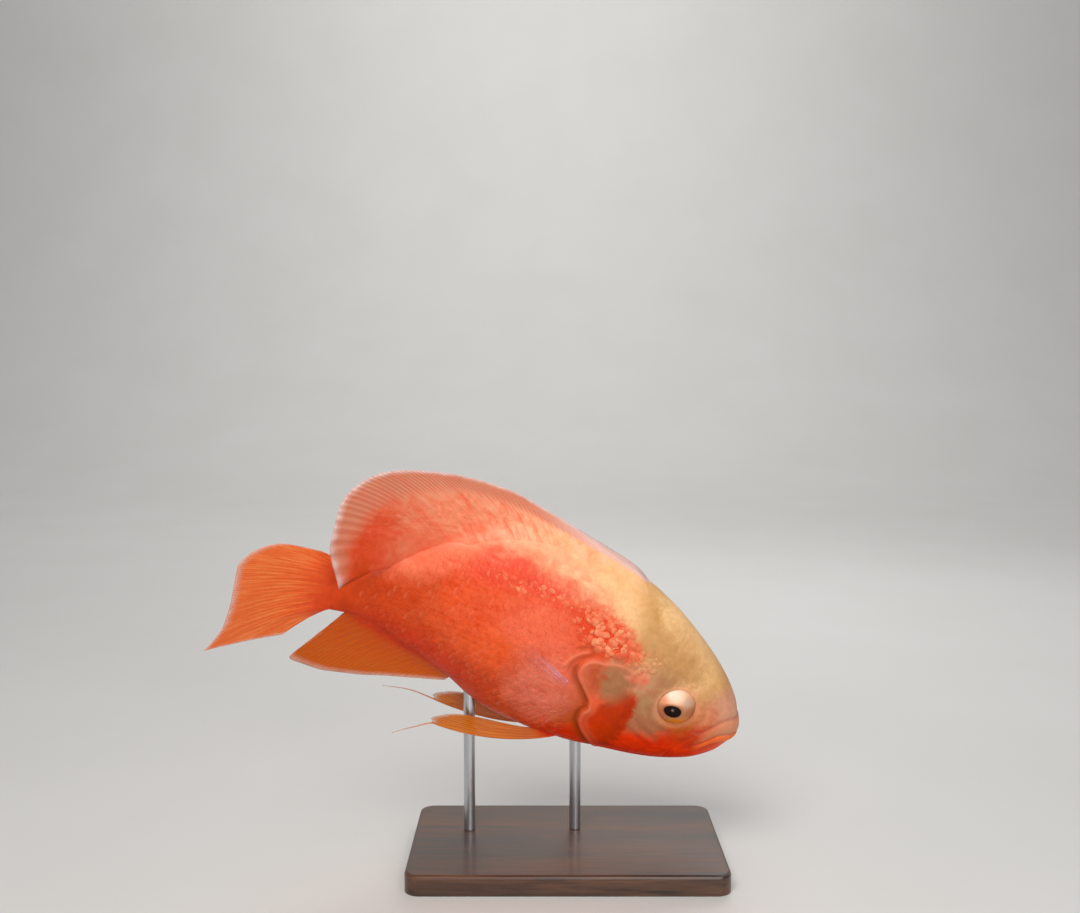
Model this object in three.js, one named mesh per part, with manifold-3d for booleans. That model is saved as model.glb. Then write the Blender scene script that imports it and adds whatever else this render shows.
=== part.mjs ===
// An adult oscar, a deep-bodied cichlid, as a still life-size display model: it noses down to its
// lower right with its tail swung to the right side, held over a flat base by two rods.
import * as THREE from "three";
import { mergeVertices } from "three/addons/utils/BufferGeometryUtils.js";
import Module from "manifold-3d";

const wasm = await Module();
wasm.setup();

// The fish is first modelled straight: s runs from the snout (0) to the tail, z up from the line
// between the snout and the middle of the tail's root, y to the fish's left. Lengths are in mm:
// 215 from the snout to the tail's root, and about 280 with the tail fin.
const GAP = 0.3;
const FLAT_WITHIN = 0.02;
// Half the size of a block that reaches past the whole fish.
const FAR = 60;

// The pose: how the body swings to its right from mid-length on, then lean, dive and place.
const SWING = [
  [-40, 0],
  [100, 0],
  [150, 9],
  [205, 24],
  [260, 40],
  [300, 50],
];
const LEAN = 15;
const DIVE = 23;
const SNOUT_AT = new THREE.Vector3(89, 2, 68);

// Body outline: top, bottom and half width at stations behind the snout.
const TOP = [
  [1.2, 2],
  [2.2, 4.8],
  [4.4, 9.6],
  [8, 15.2],
  [21, 27.7],
  [40, 40.6],
  [61, 51.5],
  [81, 58.2],
  [105, 61.8],
  [127, 61.8],
  [150, 57],
  [168, 47],
  [185, 34],
  [200, 22.5],
  [211, 17],
  [226, 16.4],
];
const BOTTOM = [
  [1.2, -2.6],
  [2.2, -5.2],
  [4.4, -10],
  [8, -16],
  [19, -25.6],
  [38, -33.8],
  [60, -39],
  [82, -43.2],
  [104, -45],
  [121, -44.6],
  [135, -41.2],
  [149, -35],
  [165, -29],
  [179, -24.2],
  [200, -15.4],
  [211, -12.4],
  [226, -12.4],
];
const HALF_WIDTH = [
  [1.2, 4.4],
  [2.2, 6.4],
  [4.4, 9],
  [8, 11.8],
  [20, 15.8],
  [38, 19],
  [60, 21.6],
  [85, 23],
  [110, 22.8],
  [135, 20.4],
  [160, 15.6],
  [185, 10.4],
  [200, 7.8],
  [212, 6],
  [220, 4],
  [226, 2.2],
];
// How square the sections are above and below the widest level, and where that level lies.
const SQUARE_TOP = [
  [-2, 2.4],
  [60, 2.15],
  [100, 1.9],
  [200, 2],
  [212, 2.6],
  [226, 3.2],
];
const SQUARE_BOTTOM = [
  [-2, 2.2],
  [90, 2.1],
  [150, 1.9],
  [200, 2],
  [212, 2.6],
  [226, 3.2],
];
const WIDEST_AT = [
  [-2, 0.5],
  [40, 0.46],
  [100, 0.5],
  [226, 0.5],
];

const BODY_END = 226;
const BODY_STEP = 8.5;
const BODY_SIDES = 36;

// The mouth: its line at the side, and the stations that the lips run through.
const MOUTH_LINE = [
  [-8, 0.9],
  [0, 0.8],
  [6, 0.3],
  [9.8, -0.6],
  [13, -3],
  [16, -6.6],
  [20.5, -12],
];
const MOUTH_FRONT = 1.2;
const LIP_STATIONS = [2.6, 4, 6.2, 9, 13, 17, 21];
const UPPER_LIP_RADIUS = [3.9, 2.6];
const LOWER_LIP_RADIUS = [2.7, 1.8];
const LIP_SWELL = 1.15;
const LIP_CENTRE = 0.9;
const MOUTH_CORNER = [21, -13];
const MOUTH_GAP = 0.45;
// The jaw's rear edge from the mouth's corner down to the throat.
const JAW_REAR = [
  [25, -19],
  [26.5, -26],
  [25.5, -34],
  [22.5, -50],
];

// The eye: where it sits, its radius, its half thickness and how far it stands out.
const EYE_AT = [38, 7.8];
const EYE_RADIUS = 9.8;
const EYE_HALF_DEPTH = 7.8;
const EYE_STANDS_OUT = 4.6;
const ORBIT_RADIUS = 10.2;
const ORBIT_ROLL = 1.3;
const NOSTRIL_AT = [23.5, 18.5];
const NOSTRIL_RADIUS = 1.2;
const NOSTRIL_RIM = 0.6;

// Gill cover: matching points down its front and its rear edge, from the top.
const COVER_FRONT = [
  [71, 17],
  [68, 12],
  [64.5, 5.5],
  [60.5, -3],
  [57, -11],
  [54.5, -19],
  [53, -27],
  [53, -34],
];
const COVER_REAR = [
  [79, 19.5],
  [86.5, 18.5],
  [90, 9],
  [86.5, 0],
  [79, -11],
  [79.5, -19],
  [75.5, -27],
  [65, -34],
];
const COVER_RAISE = 0.45;
const COVER_DEPTH = 1.8;
const COVER_HEIGHT = 54;
const COVER_RIM = 1.1;
const COVER_RIM_AT = 2.6;
const COVER_RIM_WIDTH = 2.6;
// The gill opening, which parts the head from the trunk.
const GILL_OPENING = [
  [70, 80],
  [74, 58],
  [78, 40],
  [83, 22],
  [84, 8],
  [80, 0],
  [73, -11],
  [73, -19],
  [68, -28],
  [58, -34],
  [50, -42],
  [46, -60],
];
const TAIL_SEAM = 190;

// Fins in one list each: along the base u (0 to 1), where the ray starts on the base line and
// where it ends at the margin [u, base s, margin s, margin z, sideways shift of the margin].
const DORSAL = [
  [0, 73, 76, 57.4, 0],
  [0.1, 81, 86, 61.4, 0],
  [0.27, 97, 105, 65.2, 0],
  [0.42, 113, 124, 68.9, -0.5],
  [0.54, 127, 141, 72.2, -1],
  [0.64, 140, 160, 75.4, -2],
  [0.73, 152, 181, 76, -4],
  [0.8, 163, 201, 74.2, -5.5],
  [0.86, 173, 221, 70.8, -8],
  [0.91, 181, 235, 63, -10],
  [0.95, 188, 242, 50, -12],
  [0.98, 193, 240, 30, -13],
  [1, 198, 226, 6, -12],
];
const DORSAL_SPINES = 13;
const DORSAL_RAYS = 34;
const ANAL = [
  [0, 145, 150, -38.5, 0],
  [0.15, 152, 163, -42, 0],
  [0.3, 161, 180, -45.6, 0],
  [0.45, 170, 196, -48.2, -0.5],
  [0.6, 180, 212, -48.6, -1],
  [0.75, 190, 227, -45.6, -1.5],
  [0.87, 198, 237, -41.4, -2],
  [0.94, 204, 230, -36, -1.5],
  [1, 209, 221, -27, -1],
];
const ANAL_RAYS = 18;
const CAUDAL = [
  [0, 15.2, 236, 19, 0],
  [0.12, 13, 256, 21, 0],
  [0.25, 9.8, 269, 17, 0],
  [0.38, 6, 276, 8, 0],
  [0.5, 2, 275, -2, 0],
  [0.62, -1.6, 273.5, -14, 0],
  [0.74, -5, 273, -26, 0],
  [0.85, -8, 278.5, -40.5, 0],
  [0.93, -9.8, 258, -35.6, 0],
  [1, -11.2, 240, -31, 0],
];
const CAUDAL_BASE = 221;
const CAUDAL_RAYS = 17;

const PECTORAL_BASE = [
  [91.5, -1.5],
  [85, -16],
];
const PECTORAL = [
  [0, 113, 12],
  [0.08, 120, 14],
  [0.2, 127.5, 9.5],
  [0.4, 130.5, -3],
  [0.6, 126, -14],
  [0.8, 114, -23.5],
  [0.92, 103, -26.5],
  [1, 95, -25],
];
const PECTORAL_RAYS = 13;
const PECTORAL_STANDS_OFF = [1.2, 6.5];

const PELVIC_BASE = [
  [83, -42],
  [92, -43],
];
const PELVIC = [
  [0, 149, -59, -4],
  [0.25, 151, -56.5, -4],
  [0.5, 147, -52.5, -4],
  [0.75, 137, -48.5, -3.5],
  [1, 121, -46, -3],
];
const PELVIC_HALF_SPACING = 7;
// The thread that each pelvic fin ends in: two points past the fin's tip, on the right and left.
const PELVIC_THREAD = {
  "-1": [
    [158, -64],
    [168, -71],
  ],
  1: [
    [162, -57.5],
    [177, -59.5],
  ],
};
const THREAD_RADIUS = [0.75, 0.3];
const THREAD_OUT = 4.5;

// Stand.
const BASE_LENGTH = 160;
const BASE_WIDTH = 92;
const BASE_THICK = 10;
const BASE_CORNER = 6;
const BASE_BEVEL = 1.5;
const ROD_RADIUS = 3;
const ROD_REACH = 90;
const ROD_AT = [
  [5, 13],
  [-51, 11.5],
];

const DEG = Math.PI / 180;

// A smooth curve through stations that doesn't overshoot them.
function spline(stations) {
  const n = stations.length;
  const slope = [];
  for (let i = 0; i < n - 1; i++) {
    slope.push((stations[i + 1][1] - stations[i][1]) / (stations[i + 1][0] - stations[i][0]));
  }
  const tangent = stations.map((_, i) => {
    if (i === 0) return slope[0];
    if (i === n - 1) return slope[n - 2];
    const a = slope[i - 1];
    const b = slope[i];
    return a * b <= 0 ? 0 : (2 * a * b) / (a + b);
  });
  return (x) => {
    if (x <= stations[0][0]) return stations[0][1];
    if (x >= stations[n - 1][0]) return stations[n - 1][1];
    let i = 0;
    while (x > stations[i + 1][0]) i++;
    const h = stations[i + 1][0] - stations[i][0];
    const t = (x - stations[i][0]) / h;
    const rest = 1 - t;
    return (
      (1 + 2 * t) * rest * rest * stations[i][1] +
      t * rest * rest * h * tangent[i] +
      t * t * (3 - 2 * t) * stations[i + 1][1] -
      t * t * rest * h * tangent[i + 1]
    );
  };
}

// The same for stations [u, a, b, c...]: one curve for each later column.
function columns(stations) {
  const curves = [];
  for (let k = 1; k < stations[0].length; k++) {
    curves.push(spline(stations.map((row) => [row[0], row[k]])));
  }
  return (u) => curves.map((curve) => curve(u));
}

const top = spline(TOP);
const bottom = spline(BOTTOM);
const halfWidth = spline(HALF_WIDTH);
const squareTop = spline(SQUARE_TOP);
const squareBottom = spline(SQUARE_BOTTOM);
const widestAt = spline(WIDEST_AT);
const mouthLine = spline(MOUTH_LINE);

function level(s) {
  return bottom(s) + widestAt(s) * (top(s) - bottom(s));
}

// A point of the body's section at s, at angle t from the left side, grown outward.
function sectionPoint(s, t, grow) {
  const c = Math.cos(t);
  const d = Math.sin(t);
  const up = d >= 0;
  const power = 2 / (up ? squareTop(s) : squareBottom(s));
  const middle = level(s);
  const height = up ? top(s) - middle + grow : middle - bottom(s) + grow;
  const y = (halfWidth(s) + grow) * Math.sign(c) * Math.pow(Math.abs(c), power);
  const z = middle + height * Math.sign(d) * Math.pow(Math.abs(d), power);
  return new THREE.Vector3(-s, y, z);
}

// How far the body's side is from its middle plane at s and z.
function sideAt(s, z) {
  const middle = level(s);
  const up = z >= middle;
  const height = up ? top(s) - middle : middle - bottom(s);
  const power = up ? squareTop(s) : squareBottom(s);
  const share = Math.min(0.995, Math.abs(z - middle) / height);
  return halfWidth(s) * Math.pow(1 - Math.pow(share, power), 1 / power);
}

// A point over the body's side: side is 1 for the left and -1 for the right, lift is along its normal.
function onSide(s, z, side, lift) {
  const h = 0.5;
  const ds = (sideAt(s + h, z) - sideAt(s - h, z)) / (2 * h);
  const dz = (sideAt(s, z + h) - sideAt(s, z - h)) / (2 * h);
  const normal = new THREE.Vector3(ds, 1, -dz).normalize();
  return new THREE.Vector3(
    -s + lift * normal.x,
    side * (sideAt(s, z) + lift * normal.y),
    z + lift * normal.z,
  );
}

function sideNormal(s, z, side) {
  return onSide(s, z, side, 1).sub(onSide(s, z, side, 0)).normalize();
}

// A closed skin over rings of equally many points, capped at both ends.
function loft(rings) {
  const around = rings[0].length;
  const points = [];
  const faces = [];
  for (const ring of rings) {
    for (const p of ring) points.push(p.x, p.y, p.z);
  }
  for (let i = 0; i < rings.length - 1; i++) {
    for (let j = 0; j < around; j++) {
      const a = i * around + j;
      const b = i * around + ((j + 1) % around);
      faces.push(a, b, a + around, b, b + around, a + around);
    }
  }
  for (const end of [0, rings.length - 1]) {
    const centre = new THREE.Vector3();
    for (const p of rings[end]) centre.add(p);
    centre.divideScalar(around);
    const k = points.length / 3;
    points.push(centre.x, centre.y, centre.z);
    for (let j = 0; j < around; j++) {
      const a = end * around + j;
      const b = end * around + ((j + 1) % around);
      if (end === 0) faces.push(k, b, a);
      else faces.push(k, a, b);
    }
  }
  return geometryOf(points, faces);
}

function geometryOf(points, faces) {
  const geometry = new THREE.BufferGeometry();
  geometry.setAttribute("position", new THREE.Float32BufferAttribute(points, 3));
  geometry.setIndex(faces);
  return geometry;
}

// A three.js geometry as a solid, facing outward.
function solid(geometry) {
  const bare = new THREE.BufferGeometry();
  bare.setAttribute("position", geometry.getAttribute("position"));
  bare.setIndex(geometry.index);
  const merged = mergeVertices(bare, 1e-4);
  const index = merged.index.array;
  const faces = [];
  for (let i = 0; i < index.length; i += 3) {
    const [a, b, c] = [index[i], index[i + 1], index[i + 2]];
    if (a !== b && b !== c && c !== a) faces.push(a, b, c);
  }
  const make = (list) =>
    new wasm.Manifold(
      new wasm.Mesh({
        numProp: 3,
        vertProperties: Float32Array.from(merged.getAttribute("position").array),
        triVerts: Uint32Array.from(list),
      }),
    );
  const made = make(faces);
  if (made.volume() >= 0) return made;
  for (let i = 0; i < faces.length; i += 3) {
    [faces[i + 1], faces[i + 2]] = [faces[i + 2], faces[i + 1]];
  }
  return make(faces);
}

function largest(made) {
  return made.decompose().sort((a, b) => b.volume() - a.volume())[0];
}

// A rounded cord along points, its radius changing evenly from the middle out if mirrored.
function cord(path, radiusAt, steps, around) {
  const curve = new THREE.CatmullRomCurve3(path);
  const rings = [];
  const previous = new THREE.Vector3(0, 0, 1);
  for (let i = 0; i <= steps; i++) {
    const u = i / steps;
    const centre = curve.getPoint(u);
    const along = curve.getTangent(u);
    const side = new THREE.Vector3().crossVectors(along, previous).normalize();
    const up = new THREE.Vector3().crossVectors(side, along).normalize();
    const r = radiusAt(u);
    const ring = [];
    for (let j = 0; j < around; j++) {
      const t = (2 * Math.PI * j) / around;
      ring.push(
        centre
          .clone()
          .addScaledVector(side, r * Math.cos(t))
          .addScaledVector(up, r * Math.sin(t)),
      );
    }
    rings.push(ring);
  }
  return solid(loft(rings));
}

// A prism right across the fish, from an outline of [s, z].
function prism(outline) {
  const shape = new THREE.Shape(outline.map(([s, z]) => new THREE.Vector2(-s, z)));
  const geometry = new THREE.ExtrudeGeometry(shape, { depth: 2 * FAR, bevelEnabled: false });
  geometry.rotateX(Math.PI / 2);
  geometry.translate(0, FAR, 0);
  return solid(geometry);
}

// A closed sheet between two faces given over the same grid of u and v.
function sheet(nu, nv, faceA, faceB) {
  const points = [];
  const faces = [];
  const n = (nu + 1) * (nv + 1);
  for (const face of [faceA, faceB]) {
    for (let i = 0; i <= nu; i++) {
      for (let j = 0; j <= nv; j++) {
        const p = face(i, j);
        points.push(p.x, p.y, p.z);
      }
    }
  }
  const id = (i, j) => i * (nv + 1) + j;
  for (let i = 0; i < nu; i++) {
    for (let j = 0; j < nv; j++) {
      const [a, b, c, d] = [id(i, j), id(i + 1, j), id(i + 1, j + 1), id(i, j + 1)];
      faces.push(a, b, c, a, c, d);
      faces.push(n + a, n + c, n + b, n + a, n + d, n + c);
    }
  }
  const wall = (a, b) => faces.push(a, n + a, b, b, n + a, n + b);
  for (let i = 0; i < nu; i++) {
    wall(id(i, 0), id(i + 1, 0));
    wall(id(i + 1, nv), id(i, nv));
  }
  for (let j = 0; j < nv; j++) {
    wall(id(0, j + 1), id(0, j));
    wall(id(nu, j), id(nu, j + 1));
  }
  return solid(geometryOf(points, faces));
}

// A thin curved blade: at(u, v) is its middle surface and half(u, v) half its thickness.
function blade(nu, nv, at, half) {
  const grid = [];
  for (let i = 0; i <= nu; i++) {
    grid.push([]);
    for (let j = 0; j <= nv; j++) grid[i].push(at(i / nu, j / nv));
  }
  const face = (sign) => (i, j) => {
    const du = grid[Math.min(nu, i + 1)][j].clone().sub(grid[Math.max(0, i - 1)][j]);
    const dv = grid[i][Math.min(nv, j + 1)].clone().sub(grid[i][Math.max(0, j - 1)]);
    const normal = new THREE.Vector3().crossVectors(du, dv).normalize();
    return grid[i][j].clone().addScaledVector(normal, sign * half(i / nu, j / nv));
  };
  return sheet(nu, nv, face(1), face(-1));
}

// A ray from its foot to its tip that bows to one side, as a share of its length.
function bowed(foot, tip, v, bow) {
  const middle = foot.clone().lerp(tip, 0.5);
  const along = tip.clone().sub(foot);
  middle.x += -bow * along.z;
  middle.z += bow * along.x;
  const a = foot.clone().lerp(middle, v);
  const b = middle.clone().lerp(tip, v);
  return a.lerp(b, v);
}

// Half the thickness of a fin: from root to margin, with its rays standing up in both faces.
function rayed(rays, root, margin, ridge) {
  return (u, v) => {
    const wave = 0.5 - 0.5 * Math.cos(2 * Math.PI * u * rays);
    return root + (margin - root) * Math.min(1, v * 1.6) + ridge * wave * (1 - 0.5 * v);
  };
}

// The whole body from the snout's tip to the tail's root, grown outward.
function bodySolid(grow) {
  const rings = [];
  const stations = [MOUTH_FRONT, 1.6, 2.6, 4.4, 7.2, 11, 15.5, 20.5, 26, 32, 38, 44, 50, 57, 64];
  for (let s = 72; s < BODY_END - 2; s += BODY_STEP) stations.push(s);
  stations.push(BODY_END);
  stations.forEach((s, i) => {
    const ring = [];
    const shift = i === 0 ? -grow : i === stations.length - 1 ? grow : 0;
    for (let j = 0; j < BODY_SIDES; j++) {
      const p = sectionPoint(s, (2 * Math.PI * (j + 0.5)) / BODY_SIDES, grow);
      p.x -= shift;
      ring.push(p);
    }
    rings.push(ring);
  });
  return solid(loft(rings));
}

const body = bodySolid(0);
const bodyClear = bodySolid(GAP);

// The lower jaw's share of the head, widened by pad.
function jawOutline(pad) {
  const outline = [];
  for (const s of [-12, 0, 3, 6, 9, 12, 16]) outline.push([s, mouthLine(s) + pad]);
  outline.push([MOUTH_CORNER[0] + pad, MOUTH_CORNER[1] + pad]);
  for (const [s, z] of JAW_REAR) outline.push([s + pad, z]);
  outline.push([-12, -50]);
  return outline;
}

// A lip that swells out of the head along the mouth line, over it (1) or under it (-1).
function lip(radii, over) {
  const last = LIP_STATIONS[LIP_STATIONS.length - 1];
  const radiusAt = (s) => radii[0] + ((radii[1] - radii[0]) * s) / last;
  const height = (s) => mouthLine(s) + over * LIP_CENTRE * radiusAt(s);
  const point = (s, side) => {
    const swell = LIP_SWELL * (1 - 0.75 * Math.pow(s / last, 4));
    return onSide(s, height(s), side, swell - radiusAt(s));
  };
  const path = LIP_STATIONS.map((s) => point(s, -1)).reverse();
  path.push(new THREE.Vector3(-MOUTH_FRONT - radii[0] + LIP_SWELL, 0, height(0)));
  for (const s of LIP_STATIONS) path.push(point(s, 1));
  return cord(path, (u) => radiusAt(last * Math.abs(2 * u - 1)), 24, 9);
}

function eyeFrame(side) {
  const normal = sideNormal(EYE_AT[0], EYE_AT[1], side);
  const centre = onSide(EYE_AT[0], EYE_AT[1], side, EYE_STANDS_OUT - EYE_HALF_DEPTH);
  const turn = new THREE.Quaternion().setFromUnitVectors(new THREE.Vector3(0, 0, 1), normal);
  return { normal, centre, turn };
}

function eyeball(side, grow) {
  const { centre, turn } = eyeFrame(side);
  const geometry = new THREE.SphereGeometry(1, 20, 10);
  geometry.rotateX(Math.PI / 2);
  geometry.scale(EYE_RADIUS + grow, EYE_RADIUS + grow, EYE_HALF_DEPTH + grow);
  geometry.applyQuaternion(turn);
  geometry.translate(centre.x, centre.y, centre.z);
  return solid(geometry);
}

function orbit(side) {
  const { turn } = eyeFrame(side);
  const at = onSide(EYE_AT[0], EYE_AT[1], side, -0.35);
  const geometry = new THREE.TorusGeometry(ORBIT_RADIUS, ORBIT_ROLL, 7, 20);
  geometry.applyQuaternion(turn);
  geometry.translate(at.x, at.y, at.z);
  return solid(geometry);
}

// The nostril's pit, and the low rim round it.
function nostrilParts(side) {
  const normal = sideNormal(NOSTRIL_AT[0], NOSTRIL_AT[1], side);
  const turn = new THREE.Quaternion().setFromUnitVectors(new THREE.Vector3(0, 0, 1), normal);
  const pit = onSide(NOSTRIL_AT[0], NOSTRIL_AT[1], side, 0.4);
  const seat = onSide(NOSTRIL_AT[0], NOSTRIL_AT[1], side, 0);
  const ball = new THREE.SphereGeometry(NOSTRIL_RADIUS, 10, 6);
  ball.applyQuaternion(turn).translate(pit.x, pit.y, pit.z);
  const ring = new THREE.TorusGeometry(NOSTRIL_RADIUS + 0.3, NOSTRIL_RIM, 6, 12);
  ring.applyQuaternion(turn).translate(seat.x, seat.y, seat.z);
  return [solid(ball), solid(ring)];
}

// A gill cover over the body's side: a plate whose rear edge swells into a soft rim.
function gillCover(side, pad) {
  const rows = COVER_FRONT.map((p, i) => [i / (COVER_FRONT.length - 1), ...p, ...COVER_REAR[i]]);
  const edge = columns(rows);
  const across = 8;
  const down = 13;
  const place = (u, v, lift) => {
    const [fs, fz, rs, rz] = edge(v);
    const s = fs - pad + (rs - fs + 2 * pad) * u;
    const z = fz + (rz - fz) * u + pad * (1 - 2 * v);
    return onSide(s, z, side, lift);
  };
  const outer = (u, v) => {
    if (pad) return COVER_RAISE + 4;
    const [fs, , rs] = edge(v);
    const fromRear = (1 - u) * (rs - fs) + 0.01;
    const fromTop = v * COVER_HEIGHT + 0.01;
    const inward = 1 / Math.hypot(1 / fromRear, 1 / fromTop);
    const rim = Math.exp(-Math.pow((inward - COVER_RIM_AT) / COVER_RIM_WIDTH, 2));
    const fade = Math.min(1, 2.5 * u) * Math.min(1, 6 * (1 - v) + 0.3);
    return 0.15 + fade * (COVER_RAISE + COVER_RIM * rim);
  };
  const under = (i, j) => place(i / across, j / down, -COVER_DEPTH - pad);
  const over = (i, j) => place(i / across, j / down, outer(i / across, j / down));
  return sheet(across, down, under, over);
}

// A fin in the middle plane whose rays start just under the body's outline.
function medianFin(stations, baseAt, rays, rows, bow, thick, drape) {
  const line = columns(stations);
  const at = (u, v) => {
    const [base, s, z, shift] = line(u);
    const foot = baseAt(base);
    const tip = new THREE.Vector3(-s, 0, z);
    const p = bowed(foot, tip, v, bow(u));
    p.y = shift * drape(u, v);
    return p;
  };
  return blade(2 * rays, rows, at, thick);
}

const dorsalThick = (u, v) => {
  const spiny = u * DORSAL_RAYS < DORSAL_SPINES;
  const wave = 0.5 - 0.5 * Math.cos(2 * Math.PI * u * DORSAL_RAYS);
  const flesh = spiny ? 1.2 : 3;
  const web = 0.32 + (flesh - 0.32) * Math.pow(1 - v, 2.2);
  return web + (spiny ? 0.45 : 0.28) * wave * (1 - 0.35 * v);
};
const dorsalFin = medianFin(
  DORSAL,
  (s) => new THREE.Vector3(-s, 0, top(s) - 3.4),
  DORSAL_RAYS,
  7,
  (u) => -0.04 - 0.14 * u,
  dorsalThick,
  (u, v) => Math.pow(v, 1 + 0.6 * (1 - u)) * (1 + 0.5 * (1 - v)),
);
const analFin = medianFin(
  ANAL,
  (s) => new THREE.Vector3(-s, 0, bottom(s) + 3.2),
  ANAL_RAYS,
  6,
  () => -0.06,
  rayed(ANAL_RAYS, 1.5, 0.32, 0.3),
  (u, v) => v * v,
);
const caudalLine = columns(CAUDAL);
const caudalFin = blade(
  2 * CAUDAL_RAYS,
  8,
  (u, v) => {
    const [z0, s, z] = caudalLine(u);
    const foot = new THREE.Vector3(-CAUDAL_BASE, 0, z0);
    return bowed(foot, new THREE.Vector3(-s, 0, z), v, 0.1 * (0.3 - u));
  },
  rayed(CAUDAL_RAYS, 1.3, 0.3, 0.32),
);

function pectoralFin(side) {
  const line = columns(PECTORAL);
  const [a, b] = PECTORAL_BASE;
  const at = (u, v) => {
    const [s1, z1] = line(u);
    const s0 = a[0] + (b[0] - a[0]) * u;
    const z0 = a[1] + (b[1] - a[1]) * u;
    const s = s0 + (s1 - s0) * v;
    const z = z0 + (z1 - z0) * v;
    const off = -2 + (PECTORAL_STANDS_OFF[0] + 2) * Math.min(1, 4 * v) + PECTORAL_STANDS_OFF[1] * v * v;
    return onSide(s, z, side, off);
  };
  return blade(2 * PECTORAL_RAYS, 6, at, rayed(PECTORAL_RAYS, 0.6, 0.28, 0.22));
}

function pelvicFin(side) {
  const line = columns(PELVIC);
  const [a, b] = PELVIC_BASE;
  const at = (u, v) => {
    const [s1, z1, out] = line(u);
    const foot = new THREE.Vector3(
      -(a[0] + (b[0] - a[0]) * u),
      side * PELVIC_HALF_SPACING,
      a[1] + (b[1] - a[1]) * u + 2.5,
    );
    const tip = new THREE.Vector3(-s1, side * (PELVIC_HALF_SPACING - out), z1);
    return bowed(foot, tip, v, 0.2 - 0.14 * u);
  };
  const fan = blade(12, 6, at, rayed(6, 0.9, 0.3, 0.3));
  const path = [at(0.08, 0.85), at(0.08, 0.97)];
  for (const [s, z] of PELVIC_THREAD[side]) {
    path.push(new THREE.Vector3(-s, side * (PELVIC_HALF_SPACING + THREAD_OUT), z));
  }
  const radiusAt = (u) => THREAD_RADIUS[0] + (THREAD_RADIUS[1] - THREAD_RADIUS[0]) * u;
  return fan.add(cord(path, radiusAt, 12, 6));
}

// Head, lower jaw, trunk and tail are shares of one body.
const opening = (shift) => GILL_OPENING.map(([s, z]) => [s + shift, z]);
const front = [...opening(-GAP / 2), [-20, -60], [-20, 80]];
const behind = [...opening(GAP / 2), [TAIL_SEAM, -60], [TAIL_SEAM, 80]];
const rear = [
  [TAIL_SEAM + GAP, 80],
  [TAIL_SEAM + GAP, -60],
  [240, -60],
  [240, 80],
];
let head = body.intersect(prism(front));
let jaw = body.intersect(prism(jawOutline(0)));
let trunk = body.intersect(prism(behind));
const tail = body.intersect(prism(rear));
head = head.add(lip(UPPER_LIP_RADIUS, 1)).subtract(prism(jawOutline(MOUTH_GAP)));
jaw = jaw.add(lip(LOWER_LIP_RADIUS, -1)).intersect(prism(jawOutline(0)));
for (const side of [1, -1]) {
  const [pit, rim] = nostrilParts(side);
  head = head.add(orbit(side)).add(rim);
  head = head.subtract(eyeball(side, GAP)).subtract(pit).subtract(gillCover(side, GAP));
  trunk = trunk.subtract(gillCover(side, GAP));
}

// From the straight fish to the pose.
const swing = spline(SWING);
const SWING_STEP = 0.5;
const centreLine = [new THREE.Vector2(0, 0)];
for (let s = SWING_STEP; s <= 320; s += SWING_STEP) {
  const heading = swing(s - SWING_STEP / 2) * DEG;
  const last = centreLine[centreLine.length - 1];
  centreLine.push(
    new THREE.Vector2(last.x - SWING_STEP * Math.cos(heading), last.y - SWING_STEP * Math.sin(heading)),
  );
}
const attitude = new THREE.Matrix4()
  .makeRotationY(DIVE * DEG)
  .multiply(new THREE.Matrix4().makeRotationX(LEAN * DEG));

function pose(p) {
  const s = -p.x;
  let x = p.x;
  let y0 = 0;
  if (s > 0) {
    const k = Math.min(centreLine.length - 2, Math.floor(s / SWING_STEP));
    const t = s / SWING_STEP - k;
    x = centreLine[k].x + (centreLine[k + 1].x - centreLine[k].x) * t;
    y0 = centreLine[k].y + (centreLine[k + 1].y - centreLine[k].y) * t;
  }
  const heading = swing(s) * DEG;
  return new THREE.Vector3(x - p.y * Math.sin(heading), y0 + p.y * Math.cos(heading), p.z)
    .applyMatrix4(attitude)
    .add(SNOUT_AT);
}

function posed(made) {
  const mesh = made.simplify(FLAT_WITHIN).getMesh();
  const points = [];
  for (let i = 0; i < mesh.numVert; i++) {
    const [x, y, z] = mesh.vertProperties.subarray(i * mesh.numProp, i * mesh.numProp + 3);
    const p = pose(new THREE.Vector3(x, y, z));
    points.push(p.x, p.y, p.z);
  }
  return geometryOf(points, Array.from(mesh.triVerts));
}

const object = new THREE.Group();
function add(name, geometry, colour, roughness, metalness = 0) {
  const look = new THREE.MeshStandardMaterial({ color: colour, roughness, metalness });
  const mesh = new THREE.Mesh(geometry, look);
  mesh.name = name;
  object.add(mesh);
}

const FLESH = 0xe8794a;
const TAN = 0xd9a066;
const FIN = 0xe08a4a;
add("head", posed(largest(head)), TAN, 0.4);
add("lower_jaw", posed(largest(jaw)), 0xe06a28, 0.4);
add("trunk", posed(largest(trunk)), FLESH, 0.4);
add("tail_stalk", posed(largest(tail)), FLESH, 0.4);
add("dorsal_fin", posed(largest(dorsalFin.subtract(bodyClear))), 0xe6b49c, 0.5);
add("anal_fin", posed(largest(analFin.subtract(bodyClear))), FIN, 0.5);
add("caudal_fin", posed(largest(caudalFin.subtract(bodyClear))), FIN, 0.5);
for (const [side, name] of [
  [1, "left"],
  [-1, "right"],
]) {
  add("gill_cover_" + name, posed(largest(gillCover(side, 0))), 0xe07848, 0.4);
  add("eye_" + name, posed(eyeball(side, 0)), 0xf0dcc0, 0.15);
  add("pectoral_fin_" + name, posed(largest(pectoralFin(side).subtract(bodyClear))), 0xe6a890, 0.5);
  add("pelvic_fin_" + name, posed(largest(pelvicFin(side).subtract(bodyClear))), FIN, 0.5);
}

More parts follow.
